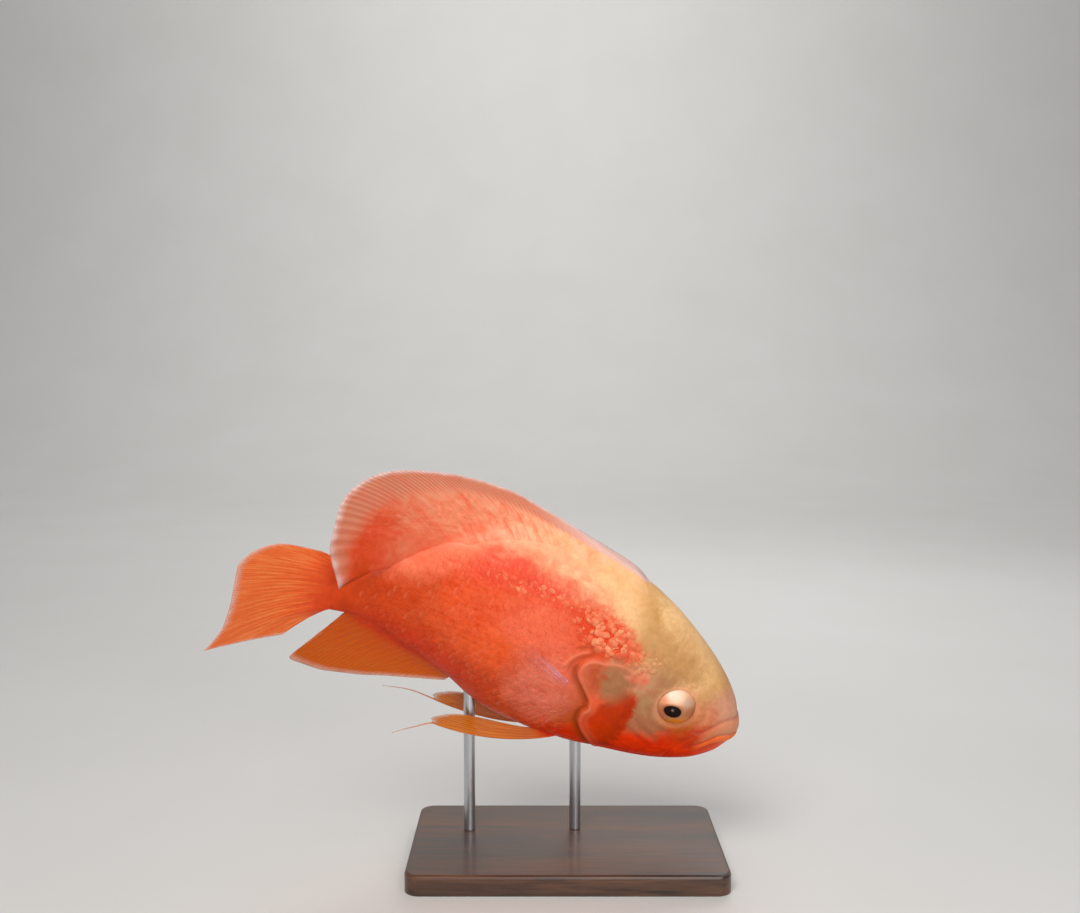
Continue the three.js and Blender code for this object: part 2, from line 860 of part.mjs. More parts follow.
// The stand: a plain slab and two rods that end under the belly.
const posedBody = solid(posed(bodyClear));
function slabSolid() {
  const w = BASE_WIDTH / 2 - BASE_BEVEL;
  const l = BASE_LENGTH / 2 - BASE_BEVEL;
  const r = BASE_CORNER;
  const shape = new THREE.Shape();
  shape.moveTo(-l + r, -w);
  shape.lineTo(l - r, -w);
  shape.absarc(l - r, -w + r, r, -Math.PI / 2, 0);
  shape.absarc(l - r, w - r, r, 0, Math.PI / 2);
  shape.absarc(-l + r, w - r, r, Math.PI / 2, Math.PI);
  shape.absarc(-l + r, -w + r, r, Math.PI, 1.5 * Math.PI);
  const geometry = new THREE.ExtrudeGeometry(shape, {
    depth: BASE_THICK - BASE_BEVEL,
    bevelThickness: BASE_BEVEL,
    bevelSize: BASE_BEVEL,
    bevelSegments: 2,
    curveSegments: 5,
  });
  // The bevel is kept only on the upper edge: the underside is cut flat at the floor.
  const aboveFloor = new THREE.BoxGeometry(4 * FAR, 4 * FAR, FAR).translate(0, 0, FAR / 2);
  return solid(geometry).intersect(solid(aboveFloor));
}
add("stand_base", unposed(slabSolid()), 0x2a2019, 0.35);
ROD_AT.forEach(([x, y], i) => {
  const rod = new THREE.CylinderGeometry(ROD_RADIUS, ROD_RADIUS, ROD_REACH, 24);
  rod.rotateX(Math.PI / 2).translate(x, y, ROD_REACH / 2 + BASE_THICK + GAP);
  const pieces = solid(rod).subtract(posedBody).decompose();
  const lowest = pieces.sort((a, b) => a.boundingBox().min[2] - b.boundingBox().min[2])[0];
  add("stand_rod_" + (i ? "rear" : "front"), unposed(lowest), 0xb8bcc0, 0.3, 1);
});

function unposed(made) {
  const mesh = made.getMesh();
  const points = [];
  for (let i = 0; i < mesh.numVert; i++) {
    points.push(...mesh.vertProperties.subarray(i * mesh.numProp, i * mesh.numProp + 3));
  }
  return geometryOf(points, Array.from(mesh.triVerts));
}

export default object;
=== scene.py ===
# %% [markdown]
# # An oscar as a museum model
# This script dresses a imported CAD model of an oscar, a deep-bodied cichlid, for a picture.
# The solids give the true sizes and places. Blender adds the skin with its lips, folds and
# scales, the glossy eyes, the thin rayed fins and the finish of the little display stand.
# Everything is worked out first on a straight fish, then bent into its swimming pose.

from functools import partial
from math import cos, pi, radians, sin

import bmesh
import bpy
import numpy as np
from mathutils import Matrix, Vector


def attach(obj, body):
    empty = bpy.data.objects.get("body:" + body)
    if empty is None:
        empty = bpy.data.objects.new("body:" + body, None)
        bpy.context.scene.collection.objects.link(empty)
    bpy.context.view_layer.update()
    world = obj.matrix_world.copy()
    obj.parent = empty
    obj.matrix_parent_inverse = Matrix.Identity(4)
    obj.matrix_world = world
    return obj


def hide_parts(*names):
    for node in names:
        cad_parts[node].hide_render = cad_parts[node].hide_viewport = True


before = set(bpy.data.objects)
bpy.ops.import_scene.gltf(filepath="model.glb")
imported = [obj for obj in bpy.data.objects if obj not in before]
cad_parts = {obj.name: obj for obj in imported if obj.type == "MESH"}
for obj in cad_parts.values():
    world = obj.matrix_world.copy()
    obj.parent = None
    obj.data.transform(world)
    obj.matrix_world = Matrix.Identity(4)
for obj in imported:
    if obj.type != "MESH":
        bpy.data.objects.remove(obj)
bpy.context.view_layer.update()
MM = 0.001
print("nodes:", sorted(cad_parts))

# %% [markdown]
# ## Camera
# The picture looks at the fish's right side from about 60 cm away and a little from above,
# with the fish left of the middle. A lens of 38.6 mm gives the same perspective as the photo.


# %% Camera
def in_scene(name, data):
    """An object that carries this data, linked to the scene."""
    made = bpy.data.objects.new(name, data)
    bpy.context.collection.objects.link(made)
    return made


camera_data = bpy.data.cameras.new("camera")
camera_data.lens = 38.6
camera_data.sensor_width = 36
camera = in_scene("camera", camera_data)
camera.location = Vector((-13.594, -588.113, 256.272)) * MM
camera.rotation_euler = (radians(85.5), 0, 0)
bpy.context.scene.camera = camera
print("camera at", tuple(round(v, 3) for v in camera.location))

# %% [markdown]
# ## Small helpers
# A body like this one is easiest to draw as a few named stations joined by smooth curves.
# The curve used here never swings past its stations, so a belly stays where it was put.
# A ramp fades an effect in, and a hill makes a soft ridge or, with a minus sign, a crease.


# %% Curves, ramps and hills
def smooth_curve(stations):
    """A smooth curve through (place, value) stations that doesn't overshoot them."""
    x, y = np.array(stations, float).T
    slope = np.diff(y) / np.diff(x)
    before, after = slope[:-1], slope[1:]
    both = np.where(before * after > 0, before + after, 1)
    inner = np.where(before * after > 0, 2 * before * after / both, 0)
    tangent = np.concatenate([slope[:1], inner, slope[-1:]])

    def curve(place):
        place = np.clip(place, x[0], x[-1])
        i = np.clip(np.searchsorted(x, place, side="right") - 1, 0, len(slope) - 1)
        h = x[i + 1] - x[i]
        t = (place - x[i]) / h
        rest = 1 - t
        return (
            (1 + 2 * t) * rest * rest * y[i]
            + t * rest * rest * h * tangent[i]
            + t * t * (3 - 2 * t) * y[i + 1]
            - t * t * rest * h * tangent[i + 1]
        )

    return curve


def smooth_columns(stations):
    """One smooth curve for each column after the first."""
    rows = np.array(stations, float)
    curves = [smooth_curve(rows[:, [0, k]]) for k in range(1, rows.shape[1])]
    return lambda place: [curve(place) for curve in curves]


def ramp(value, low, high):
    t = np.clip((value - low) / (high - low), 0, 1)
    return t * t * (3 - 2 * t)


def hill(value, middle, width):
    return np.exp(-(((value - middle) / width) ** 2))


def roll(value, low, high):
    """The round back of a cord that lies between low and high."""
    t = (2 * value - low - high) / (high - low)
    return np.sqrt(np.clip(1 - t * t, 0, 1))


print("half way up a ramp:", float(ramp(0.5, 0, 1)), "one width off a hill:", float(hill(1, 0, 1)))


# %% [markdown]
# ## The straight fish
# The measurements are those of the solids, in millimetres: s runs from the snout to the
# tail, z up, y to the fish's left. Each cross-section is a superellipse, an oval that can be
# made a little squarer, with its own top, bottom, width and widest level.

# %% Body outline
top = smooth_curve(
    [(1.2, 2), (2.2, 4.8), (4.4, 9.6), (8, 15.2), (21, 27.7), (40, 40.6), (61, 51.5), (81, 58.2)]
    + [(105, 61.8), (127, 61.8), (150, 57), (168, 47), (185, 34), (200, 22.5), (211, 17), (226, 16.4)]
)
bottom = smooth_curve(
    [(1.2, -2.6), (2.2, -5.2), (4.4, -10), (8, -16), (19, -25.6), (38, -33.8), (60, -39)]
    + [(82, -43.2), (104, -45), (121, -44.6), (135, -41.2), (149, -35), (165, -29), (179, -24.2)]
    + [(200, -15.4), (211, -12.4), (226, -12.4)]
)
half_width = smooth_curve(
    [(1.2, 4.4), (2.2, 6.4), (4.4, 9), (8, 11.8), (20, 15.8), (38, 19), (60, 21.6), (85, 23)]
    + [(110, 22.8), (135, 20.4), (160, 15.6), (185, 10.4), (200, 7.8), (212, 6), (220, 4), (226, 2.2)]
)
square_top = smooth_curve([(-2, 2.4), (60, 2.15), (100, 1.9), (200, 2), (212, 2.6), (226, 3.2)])
square_bottom = smooth_curve([(-2, 2.2), (90, 2.1), (150, 1.9), (200, 2), (212, 2.6), (226, 3.2)])
widest_at = smooth_curve([(-2, 0.5), (40, 0.46), (100, 0.5), (226, 0.5)])
SNOUT, TAIL_ROOT = 1.2, 226
print("deepest section:", float(top(112) - bottom(112)), "mm high,", 2 * float(half_width(112)), "mm wide")


# %% Sections and surface points
def level(s):
    return bottom(s) + widest_at(s) * (top(s) - bottom(s))


def section(s, angle):
    """Straight points of the body at stations s and angles up from the left side."""
    c, d = np.cos(angle), np.sin(angle)
    power = 2 / np.where(d >= 0, square_top(s), square_bottom(s))
    height = np.where(d >= 0, top(s) - level(s), level(s) - bottom(s))
    y = half_width(s) * np.sign(c) * np.abs(c) ** power
    z = level(s) + height * np.sign(d) * np.abs(d) ** power
    return np.stack(np.broadcast_arrays(-s, y, z), -1)


def unit(vectors):
    return vectors / np.maximum(np.linalg.norm(vectors, axis=-1, keepdims=True), 1e-9)


def section_normal(s, angle):
    along = section(s + 0.2, angle) - section(s - 0.2, angle)
    around = section(s, angle + 0.02) - section(s, angle - 0.02)
    return unit(np.cross(along, around))


def half_depth(s, z):
    """How far the body's side is from its middle plane."""
    middle = level(s)
    height = np.where(z >= middle, top(s) - middle, middle - bottom(s))
    power = np.where(z >= middle, square_top(s), square_bottom(s))
    share = np.minimum(0.995, np.abs(z - middle) / height)
    return half_width(s) * (1 - share**power) ** (1 / power)


def on_side(s, z, side, lift=0.0):
    """Straight points over the body's left (1) or right (-1) side, lifted along its normal."""
    s, z = np.asarray(s, float), np.asarray(z, float)
    ds = half_depth(s + 0.5, z) - half_depth(s - 0.5, z)
    dz = half_depth(s, z + 0.5) - half_depth(s, z - 0.5)
    normal = unit(np.stack(np.broadcast_arrays(ds, 1.0, -dz), -1))
    at = np.stack(np.broadcast_arrays(-s, half_depth(s, z), z), -1)
    return (at + np.asarray(lift)[..., None] * normal) * (1, side, 1)


print("the left side at s = 100, z = 0:", on_side(100, 0, 1).round(1), "mm")

# %% [markdown]
# ## The pose
# A swimming oscar bends to one side like a bow. The centre line turns more and more towards
# the tail, and each cross-section is carried along it. After that the whole fish leans 15
# degrees towards the camera and dives 23 degrees, as a stiff object.

# %% Pose
SWING = smooth_curve([(-40, 0), (100, 0), (150, 9), (205, 24), (260, 40), (300, 50)])
LEAN, DIVE = radians(15), radians(23)
SNOUT_AT = np.array((89, 2, 68))
STEP = 0.5
line_s = np.arange(-40, 320, STEP)
heading = np.radians(SWING(line_s + STEP / 2))
line_x = 40 - np.concatenate([[0], np.cumsum(STEP * np.cos(heading))[:-1]])
line_y = -np.concatenate([[0], np.cumsum(STEP * np.sin(heading))[:-1]])
ATTITUDE = np.array(Matrix.Rotation(DIVE, 3, "Y") @ Matrix.Rotation(LEAN, 3, "X"))


def pose(points):
    """Carries straight points, in millimetres, into the swimming pose, in metres."""
    s = -points[..., 0]
    turn = np.radians(SWING(s))
    x = np.interp(s, line_s, line_x) - points[..., 1] * np.sin(turn)
    y = np.interp(s, line_s, line_y) + points[..., 1] * np.cos(turn)
    return (np.stack([x, y, points[..., 2]], -1) @ ATTITUDE.T + SNOUT_AT) * MM


print("tail root lands at", pose(np.array((-215.0, 0, 0))).round(4))

# %% [markdown]
# ## Turning a flat grid into a piece
# Every large surface starts as a flat grid from Blender's own operator. Its two directions
# are read as "along" and "across", and its points are moved to where the fish has them. Two
# edges that land on each other are welded, which closes the shape. The straight place of
# every point is kept on the mesh, so that the paint can follow the body and not the room.


# %% Meshes and their points
def as_mesh(shape, name):
    """Turns a bmesh into a mesh and frees it."""
    mesh = bpy.data.meshes.new(name)
    shape.to_mesh(mesh)
    shape.free()
    return mesh


def points_of(mesh):
    points = np.empty(len(mesh.vertices) * 3, np.float32)
    mesh.vertices.foreach_get("co", points)
    return points.reshape(-1, 3).astype(float)


def flat_grid(columns, rows):
    """A fresh grid, and the place (across, along) of each of its points, from 0 to 1."""
    shape = bmesh.new()
    bmesh.ops.create_grid(shape, x_segments=columns, y_segments=rows, size=0.5)
    bmesh.ops.translate(shape, verts=shape.verts, vec=(0.5, 0.5, 0))
    mesh = as_mesh(shape, "grid")
    return mesh, points_of(mesh)[:, :2]


def keep(mesh, name, values):
    """Stores one number or one vector for every point, for the materials to read."""
    values = np.asarray(values, np.float32)
    kind, field = ("FLOAT_VECTOR", "vector") if values.ndim == 2 else ("FLOAT", "value")
    mesh.attributes.new(name, kind, "POINT").data.foreach_set(field, values.ravel())


def place_points(mesh, straight, facts):
    """Moves a grid's points to their posed places and keeps what the paint needs."""
    mesh.vertices.foreach_set("co", pose(straight).astype(np.float32).ravel())
    keep(mesh, "straight", straight * MM)
    for name, values in facts.items():
        keep(mesh, name, values)


print("a grid of 2 by 3 faces has", len(flat_grid(2, 3)[1]), "points")


# %% Welded pieces
WELD = 2e-6


def welded(name, meshes, slot, *replaced):
    """Joins meshes into one piece, welds what meets and turns all faces outward."""
    shape = bmesh.new()
    for mesh in meshes:
        shape.from_mesh(mesh)
    bmesh.ops.remove_doubles(shape, verts=shape.verts, dist=WELD)
    bmesh.ops.recalc_face_normals(shape, faces=shape.faces)
    open_edges = sum(not edge.is_manifold for edge in shape.edges)
    triangles = sum(len(face.verts) - 2 for face in shape.faces)
    piece = in_scene(name, as_mesh(shape, name))
    piece.data.polygons.foreach_set("use_smooth", np.ones(len(piece.data.polygons), bool))
    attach(piece, "root")
    if replaced:
        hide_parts(*replaced)
    print(f"{name}: {triangles} triangles, {open_edges} open edges")
    return piece


SIDES = ((1, "left"), (-1, "right"))
print("weld distance:", WELD / MM, "mm")

# %% [markdown]
# ## The mouth
# An oscar's mouth slants down from the snout and has thick lips. The line of the mouth is a
# curve over the side of the head. The upper lip is a soft roll above it, the lower lip a
# thinner roll below it, and the slit between them is a narrow, deep crease. A second crease
# marks where the upper lip slides out of the snout.

# %% Mouth and lips
MOUTH_LINE = smooth_curve([(-8, 0.9), (0, 0.8), (6, 0.3), (9.8, -0.6), (13, -3), (16, -6.6), (20.5, -12)])
MOUTH_CORNER = (20.5, -12.2)


def mouth_relief(s, z):
    above = z - MOUTH_LINE(s)
    lips = 1 - ramp(s, 13, 22)
    upper = 0.95 * roll(above, -0.4, 8.0) * lips
    lower = 0.75 * roll(-above, -0.4, 4.8) * lips
    slit = -1.1 * hill(above, 0, 0.5) * (1 - ramp(s, 18, 22))
    crease = -0.4 * hill(above, 8.6, 1.3) * (1 - ramp(s, 18, 26))
    corner = np.hypot(s - MOUTH_CORNER[0] - 1.2, (z - MOUTH_CORNER[1] + 1.6) * 0.6)
    return upper + lower + slit + crease - 0.5 * hill(corner, 0, 1.3)


print("line of the mouth, snout and corner:", float(MOUTH_LINE(0)), float(MOUTH_LINE(20.5)), "mm")


# %% [markdown]
# ## The gill cover
# The gill cover is a bony plate behind the cheek. Its free rear edge is fleshy: it swells
# into a soft roll with a notch half way down, and hangs over a groove. The edge is drawn as
# a path, and the distance to that path gives the height of the roll, the depth of the groove
# and how far the roll leans back over it. A second, short fold of skin lies behind its top.

# %% Distance to a drawn path
COVER_EDGE = [
    (66, 19), (72, 19.6), (77, 19), (81, 17.6), (85, 17.2), (88.6, 15.2), (91, 11.6), (91.4, 7.6), (90, 4),
    (86.6, 0.6), (82.6, -3.4), (79.6, -7.2), (78.8, -10.8), (80.6, -15), (80.4, -19.4), (77.2, -25),
    (72.8, -29.6), (66.7, -35.5), (60, -42),
]
COVER_FRONT = [(50, -46), (50, 22)]


def drawn_path(points, count=90):
    rows = [(i, *point) for i, point in enumerate(points)]
    return np.stack(smooth_columns(rows)(np.linspace(0, len(points) - 1, count)), -1)


def nearest_on(path, s, z):
    """The distance to a path, the way (ds, dz) to its nearest point, and how far along that is."""
    at = np.stack([s, z], -1)[:, None, :]
    start, step = path[None, :-1], np.diff(path, axis=0)[None]
    share = np.clip(((at - start) * step).sum(-1) / (step**2).sum(-1), 0, 1)
    away = start + share[..., None] * step - at
    distance = np.linalg.norm(away, axis=-1)
    best = distance.argmin(1)
    row = np.arange(len(best))
    return distance[row, best], away[row, best], (best + share[row, best]) / len(path)


def inside(outline, s, z):
    """Which places lie inside a closed outline."""
    within = np.zeros(len(s), bool)
    for (s0, z0), (s1, z1) in zip(outline, np.roll(outline, -1, axis=0)):
        crosses = (z0 > z) != (z1 > z)
        within ^= crosses & (s < (s1 - s0) * (z - z0) / (z1 - z0 + 1e-12) + s0)
    return within


cover_path = drawn_path(COVER_EDGE)
cover_outline = np.concatenate([cover_path, COVER_FRONT])
SHOULDER_FOLD = drawn_path([(98.8, 7), (97.8, 10.6), (96, 14), (93.4, 16.8), (90.6, 18.8)], 30)
print("edge of the gill cover:", len(cover_path), "points, fold behind it:", len(SHOULDER_FOLD))


# %% Gill cover relief
def cover_relief(s, z):
    """The lift of the gill cover's skin, and how far (ds, dz) its edge leans back."""
    lift, lean = np.zeros(len(s)), np.zeros((len(s), 2))
    near = (s > 40) & (s < 110) & (z < 36)
    distance, way, run = nearest_on(cover_path, s[near], z[near])
    within = inside(cover_outline, s[near], z[near])
    depth = np.where(within, distance, -distance)
    strength = ramp(s[near], 58, 74) * (1 - (1 - ramp(s[near], 72, 84)) * ramp(z[near], 8, 15))
    low = ramp(z[near], -44, -34)
    plate = 0.5 * ramp(depth, -0.5, 0.7) * ramp(s[near], 50, 66)
    swell = 1 + 0.35 * np.sin(run * 23 + 1) + 0.2 * np.sin(run * 51)
    rim = 0.6 * hill(depth, 1.2, 0.9) + 0.32 * swell * hill(depth, 3.8, 2.2)
    groove = -0.75 * hill(depth, -1.0, 1.1) - 0.3 * hill(depth, -3.8, 2.5)
    groove *= 1 - 0.55 * ramp(z[near], 2, 13)
    inner = -0.2 * hill(depth, 7.2, 2.0)
    lift[near] = (plate + rim + groove + inner) * strength * (0.35 + 0.65 * low)
    push = 0.7 * hill(depth, 0.5, 1.0) * strength * low * (1 - 0.6 * ramp(z[near], 4, 13))
    outward = np.where(within, 1, -1)[:, None] * unit(way)
    lean[near] = push[:, None] * outward
    fold = nearest_on(SHOULDER_FOLD, s[near], z[near])[0]
    lift[near] += 0.45 * hill(fold, 0, 0.9) - 0.25 * hill(fold, 2.2, 1.0)
    return lift, lean


print("height of the gill cover's rim:", cover_relief(np.array([78.0]), np.array([-10.8]))[0].round(2), "mm")


# %% [markdown]
# ## Cheek, eye socket and forehead
# The skin dips under the eyeball and swells a little around it. Below the eye, a ridge
# marks the front bone of the gill cover, and soft folds run down from the eye to the jaw.

# %% Cheek and socket
EYE_AT, EYE_RADIUS = (38, 7.6), 10.2
CHEEK_RIDGE = drawn_path([(66, 16), (64.1, 6.9), (60.6, 0.4), (57.5, -8.3), (50.5, -13.6), (42, -17)])
JAW_FOLD = drawn_path([(23, -6), (27, -12.5), (29.5, -19), (31, -26)])
THROAT_FOLDS = [[(30, -31), (48, -35.5), (66, -38)], [(34, -28), (50, -32), (64, -34.5)]]


def cheek_relief(s, z):
    lift = np.zeros(len(s))
    near = (s > 12) & (s < 80) & (z < 40)
    ns, nz = s[near], z[near]
    ridge = nearest_on(CHEEK_RIDGE, ns, nz)[0]
    fold = nearest_on(JAW_FOLD, ns, nz)[0]
    made = 0.4 * hill(ridge, 0.0, 1.6) - 0.25 * hill(ridge, 3.2, 1.6) - 0.4 * hill(fold, 0, 1.0)
    for points in THROAT_FOLDS:
        made -= 0.4 * hill(nearest_on(drawn_path(points), ns, nz)[0], 0, 0.8)
    made += 0.35 * hill(np.hypot(ns - 47, nz + 7), 0, 6)
    from_eye = np.hypot(ns - EYE_AT[0], nz - EYE_AT[1])
    made += 0.3 * hill(from_eye, 12.6, 2.2) - 0.15 * hill(from_eye, 15.5, 1.6)
    made -= 3.2 * (1 - ramp(from_eye, 8.6, 10.4))
    lift[near] = made
    return lift


print("dip under the eyeball:", cheek_relief(*np.array(EYE_AT)[:, None]).round(2), "mm")

# %% [markdown]
# ## The skin
# One skin covers the head, the jaw, the gill covers, the trunk and the tail's root, so that
# no seam shows. It is a grid of rings around the body, closer together on the head, where the
# small forms are. The reliefs above push its points in and out along their own normals.

# %% Rings along the body
RING_POINTS = 252
RING_GAP = smooth_curve([(1, 0.44), (25, 0.5), (45, 0.55), (95, 0.62), (120, 0.9), (226, 1.05)])
CAP_RINGS, END_RINGS = 9, 5

fine_s = np.linspace(SNOUT, TAIL_ROOT, 4000)
steepness = np.maximum(np.abs(np.gradient(top(fine_s), fine_s)), np.abs(np.gradient(bottom(fine_s), fine_s)))
density = np.sqrt(1 + steepness**2) / RING_GAP(fine_s)
count = np.concatenate([[0], np.cumsum((density[1:] + density[:-1]) / 2 * np.diff(fine_s))])
ring_s = np.interp(np.linspace(0, count[-1], int(count[-1])), count, fine_s)
print("rings:", len(ring_s), "with", RING_POINTS, "points each")

# %% Skin places and relief
mesh, places = flat_grid(RING_POINTS, CAP_RINGS + len(ring_s) + END_RINGS - 1)
ring = np.rint(places[:, 1] * (CAP_RINGS + len(ring_s) + END_RINGS - 1)).astype(int) - CAP_RINGS
turn = 2 * pi * places[:, 0] - pi / 2
turn = turn - 0.17 * np.sin(2 * turn)
skin_s = ring_s[np.clip(ring, 0, len(ring_s) - 1)]
skin = section(skin_s, turn)
normal = section_normal(np.clip(skin_s, SNOUT + 0.2, TAIL_ROOT), turn)

cap = ring < 0
share = np.clip((ring[cap] + CAP_RINGS) / CAP_RINGS, 0, 1)[:, None]
pole = np.array((-SNOUT + 0.7, 0, float(MOUTH_LINE(SNOUT))))
skin[cap] = pole + share * (skin[cap] - pole)
skin[cap, 0] = -SNOUT + 0.7 * (1 - share[:, 0] ** 2)
normal[cap] = unit(normal[cap] * share + np.array((1, 0, 0)) * (1 - share))

tail = ring > len(ring_s) - 1
share = np.clip((len(ring_s) - 1 + END_RINGS - ring[tail]) / END_RINGS, 0, 1)[:, None]
middle = np.array((-TAIL_ROOT, 0, float(level(TAIL_ROOT))))
skin[tail] = middle + share * (skin[tail] - middle)
normal[tail] = (-1, 0, 0)


def body_relief(s, z):
    """All the reliefs of the skin together, and how far the gill cover's edge leans back."""
    lift, lean = cover_relief(s, z)
    return lift + mouth_relief(s, z) + cheek_relief(s, z), lean


lift, lean = body_relief(-skin[:, 0], skin[:, 2])
skin += normal * lift[:, None]
skin[:, 0] -= lean[:, 0]
skin[:, 2] += lean[:, 1]
print("relief from", lift.min().round(2), "to", lift.max().round(2), "mm")

# %% [markdown]
# ## Masks for the paint
# Most of the markings are soft patches that the paint places by itself. A few tones follow a
# form of the skin exactly: the rosy rim of the gill cover and the fold behind it, with a
# painted highlight at the rim's top and notch, their grooves, darkened as painted shade, the
# lid around the eye, the lips and the crease over them. Their masks come from the same paths
# as the relief, so that colour and form agree.


# %% Masks
def form_masks(s, z):
    """Masks from 0 to 1 at straight places, for the forms of the head that get a tone of their own, with
    painted shade in the grooves and a partly painted highlight on the rim.
    """
    distance = nearest_on(cover_path, s, z)[0]
    edge = np.where(inside(cover_outline, s, z) & (s > 52), distance, -distance)
    along = ramp(s, 60, 72) * ramp(z, -41, -34)
    # The rim's rosy tone is painted stronger at its top and at its notch, partly as a painted highlight.
    rim_tone_and_highlight = 0.45 + 0.5 * np.maximum(ramp(z, 7, 13), hill(z, -11.5, 3))
    rim = (hill(edge, 1.2, 0.9) * rim_tone_and_highlight + 0.2 * hill(edge, 3.6, 1.6)) * along
    # The grooves behind the rim and behind the shoulder fold get a dark tone that is painted shade.
    groove = hill(edge, -1.8, 1.7) * along * (1 - ramp(z, 8, 16))
    fold = nearest_on(SHOULDER_FOLD, s, z)[0]
    above = z - MOUTH_LINE(s)
    lips = 1 - ramp(s, 15, 22)
    crease = hill(above, 8.4, 1.1) * (1 - ramp(s, 20, 27))
    slit = hill(above, 0, 0.6) * (1 - ramp(s, 19, 23))
    return {
        "rim": rim + 0.8 * hill(fold, 0, 0.8),
        "groove": np.maximum(groove, 0.7 * hill(fold, 2.6, 1.4) * (s < 97)),
        "lid": hill(np.hypot(s - EYE_AT[0], z - EYE_AT[1]), 10.6, 1.5),
        "upper_lip": ramp(above, 0.2, 1.2) * (1 - ramp(above, 6.2, 8.6)) * lips,
        "lower_lip": ramp(-above, 0.2, 1.0) * (1 - ramp(-above, 3.6, 5.2)) * lips,
        "lip_crease": crease + 0.8 * slit,
    }


print("masks:", *form_masks(np.zeros(1), np.zeros(1)))

# %% Skin piece
place_points(mesh, skin, form_masks(-skin[:, 0], skin[:, 2]))
flesh_nodes = ("head", "lower_jaw", "gill_cover_left", "gill_cover_right", "trunk", "tail_stalk")
fish_skin = welded("skin", [mesh], "body_skin", *flesh_nodes)

# %% [markdown]
# ## Eyes
# Each eye is a flattened ball that stands out of the head, and its pupil sits low and to the
# rear. The ball gets a slight bulge over the pupil, like a cornea. A fold of skin runs around
# it: a small ring whose cross-section is drawn as a path and turned around the eye, with its
# outer foot sunk in the head. The nostrils are made the same way.

# %% Eyeballs
EYE_HALF_DEPTH, EYE_STANDS_OUT = 7.8, 4.6
PUPIL_AT = (-2.5, -1.0)
PUPIL_HALF = (4.3, 3.2)


def eye_frame(side):
    """The middle of an eye and its axes: forward, up and outward, on the straight fish."""
    foot, tip = on_side(*EYE_AT, side, 0), on_side(*EYE_AT, side, 1)
    outward = unit(tip - foot)
    middle = foot + (EYE_STANDS_OUT - EYE_HALF_DEPTH) * outward
    forward = unit(np.cross((0, 0, 1), outward) * side)
    forward = forward * np.sign(forward[0])
    up = unit(np.cross(outward, forward) * side)
    up = up * np.sign(up[2])
    return middle, np.stack([forward, up, outward])


def eyeball(side, name):
    shape = bmesh.new()
    bmesh.ops.create_uvsphere(shape, u_segments=72, v_segments=48, radius=1)
    mesh = as_mesh(shape, name)
    local = points_of(mesh) * (EYE_RADIUS, EYE_RADIUS, EYE_HALF_DEPTH)
    from_pupil = np.hypot((local[:, 0] - PUPIL_AT[0]) / 6, (local[:, 1] - PUPIL_AT[1]) / 5)
    local[:, 2] += 0.55 * hill(from_pupil, 0, 1) * (local[:, 2] > 0)
    middle, axes = eye_frame(side)
    place_points(mesh, middle + local @ axes, {"iris": local * MM})
    return welded(name, [mesh], "eye", name)


eyes = [eyeball(side, "eye_" + name) for side, name in SIDES]


# %% Rings of skin
def ring_on_skin(name, side, centre, profile, around=96):
    """A closed fold of skin: its profile of (distance, lift) goes around a centre."""
    path = drawn_path(profile, 22)
    mesh, places = flat_grid(around, len(path) - 1)
    angle = 2 * pi * places[:, 0]
    row = np.rint(places[:, 1] * (len(path) - 1)).astype(int)
    s = centre[0] + path[row, 0] * np.cos(angle)
    z = centre[1] + path[row, 0] * np.sin(angle)
    place_points(mesh, on_side(s, z, side, path[row, 1]), form_masks(s, z))
    return welded(name, [mesh], "head_skin")


ORBIT_PROFILE = [(13.0, -0.7), (12.2, -0.2), (11.4, 0.12), (10.5, 0.32), (9.8, 0.3), (9.4, 0.02)]
ORBIT_PROFILE += [(9.35, -0.6), (9.8, -2.0), (10.6, -2.6), (11.8, -2.0), (13.0, -0.7)]
NOSTRIL_AT = (23.5, 18.5)
NOSTRIL_PROFILE = [(2.3, -0.3), (1.9, -0.02), (1.4, 0.12), (1.0, 0.08), (0.7, -0.15), (0.6, -0.6), (0, -0.8)]
rings = []
for side, name in SIDES:
    rings.append(ring_on_skin("eye_fold_" + name, side, EYE_AT, ORBIT_PROFILE))
    rings.append(ring_on_skin("nostril_" + name, side, NOSTRIL_AT, NOSTRIL_PROFILE, 32))

# %% [markdown]
# ## Fins
# A fin is a skin stretched over rays. Each fin is drawn as a fan: for every place along its
# base, the stations say where the ray starts and where it ends, and the ray bows between the
# two. Two layers of the same grid lie either side of that surface, half the fin's thickness
# away, and meet at the edges, where they are welded. Rays stand up as ridges. Soft rays split
# in two on their way out and split again near the margin, and spines stay single.


# %% Rays
def bowed(foot, tip, v, bow):
    """A ray from foot to tip that bows sideways by a share of its length."""
    along = tip - foot
    middle = (foot + tip) / 2
    middle[:, 0] -= bow * along[:, 2]
    middle[:, 2] += bow * along[:, 0]
    v = v[:, None]
    return (foot * (1 - v) + middle * v) * (1 - v) + (middle * (1 - v) + tip * v) * v


def soft_rays(count, v, first=0.3, second=0.6):
    """Ridge height (0 to 1) of rays that fork twice; count is the place among the rays."""
    offset = np.abs(count - np.floor(count) - 0.5)
    fork = 0.25 * ramp(v, first, first + 0.45)
    twig = 0.125 * ramp(v, second, second + 0.45)
    off_branch = np.abs(np.abs(offset - fork) - twig)
    width = 0.13 * (1 - 0.5 * ramp(v, first, 0.9))
    return hill(off_branch, 0, width)


print("ridge of a soft ray half way out:", soft_rays(np.array([0.5, 0.62]), 0.5).round(2))


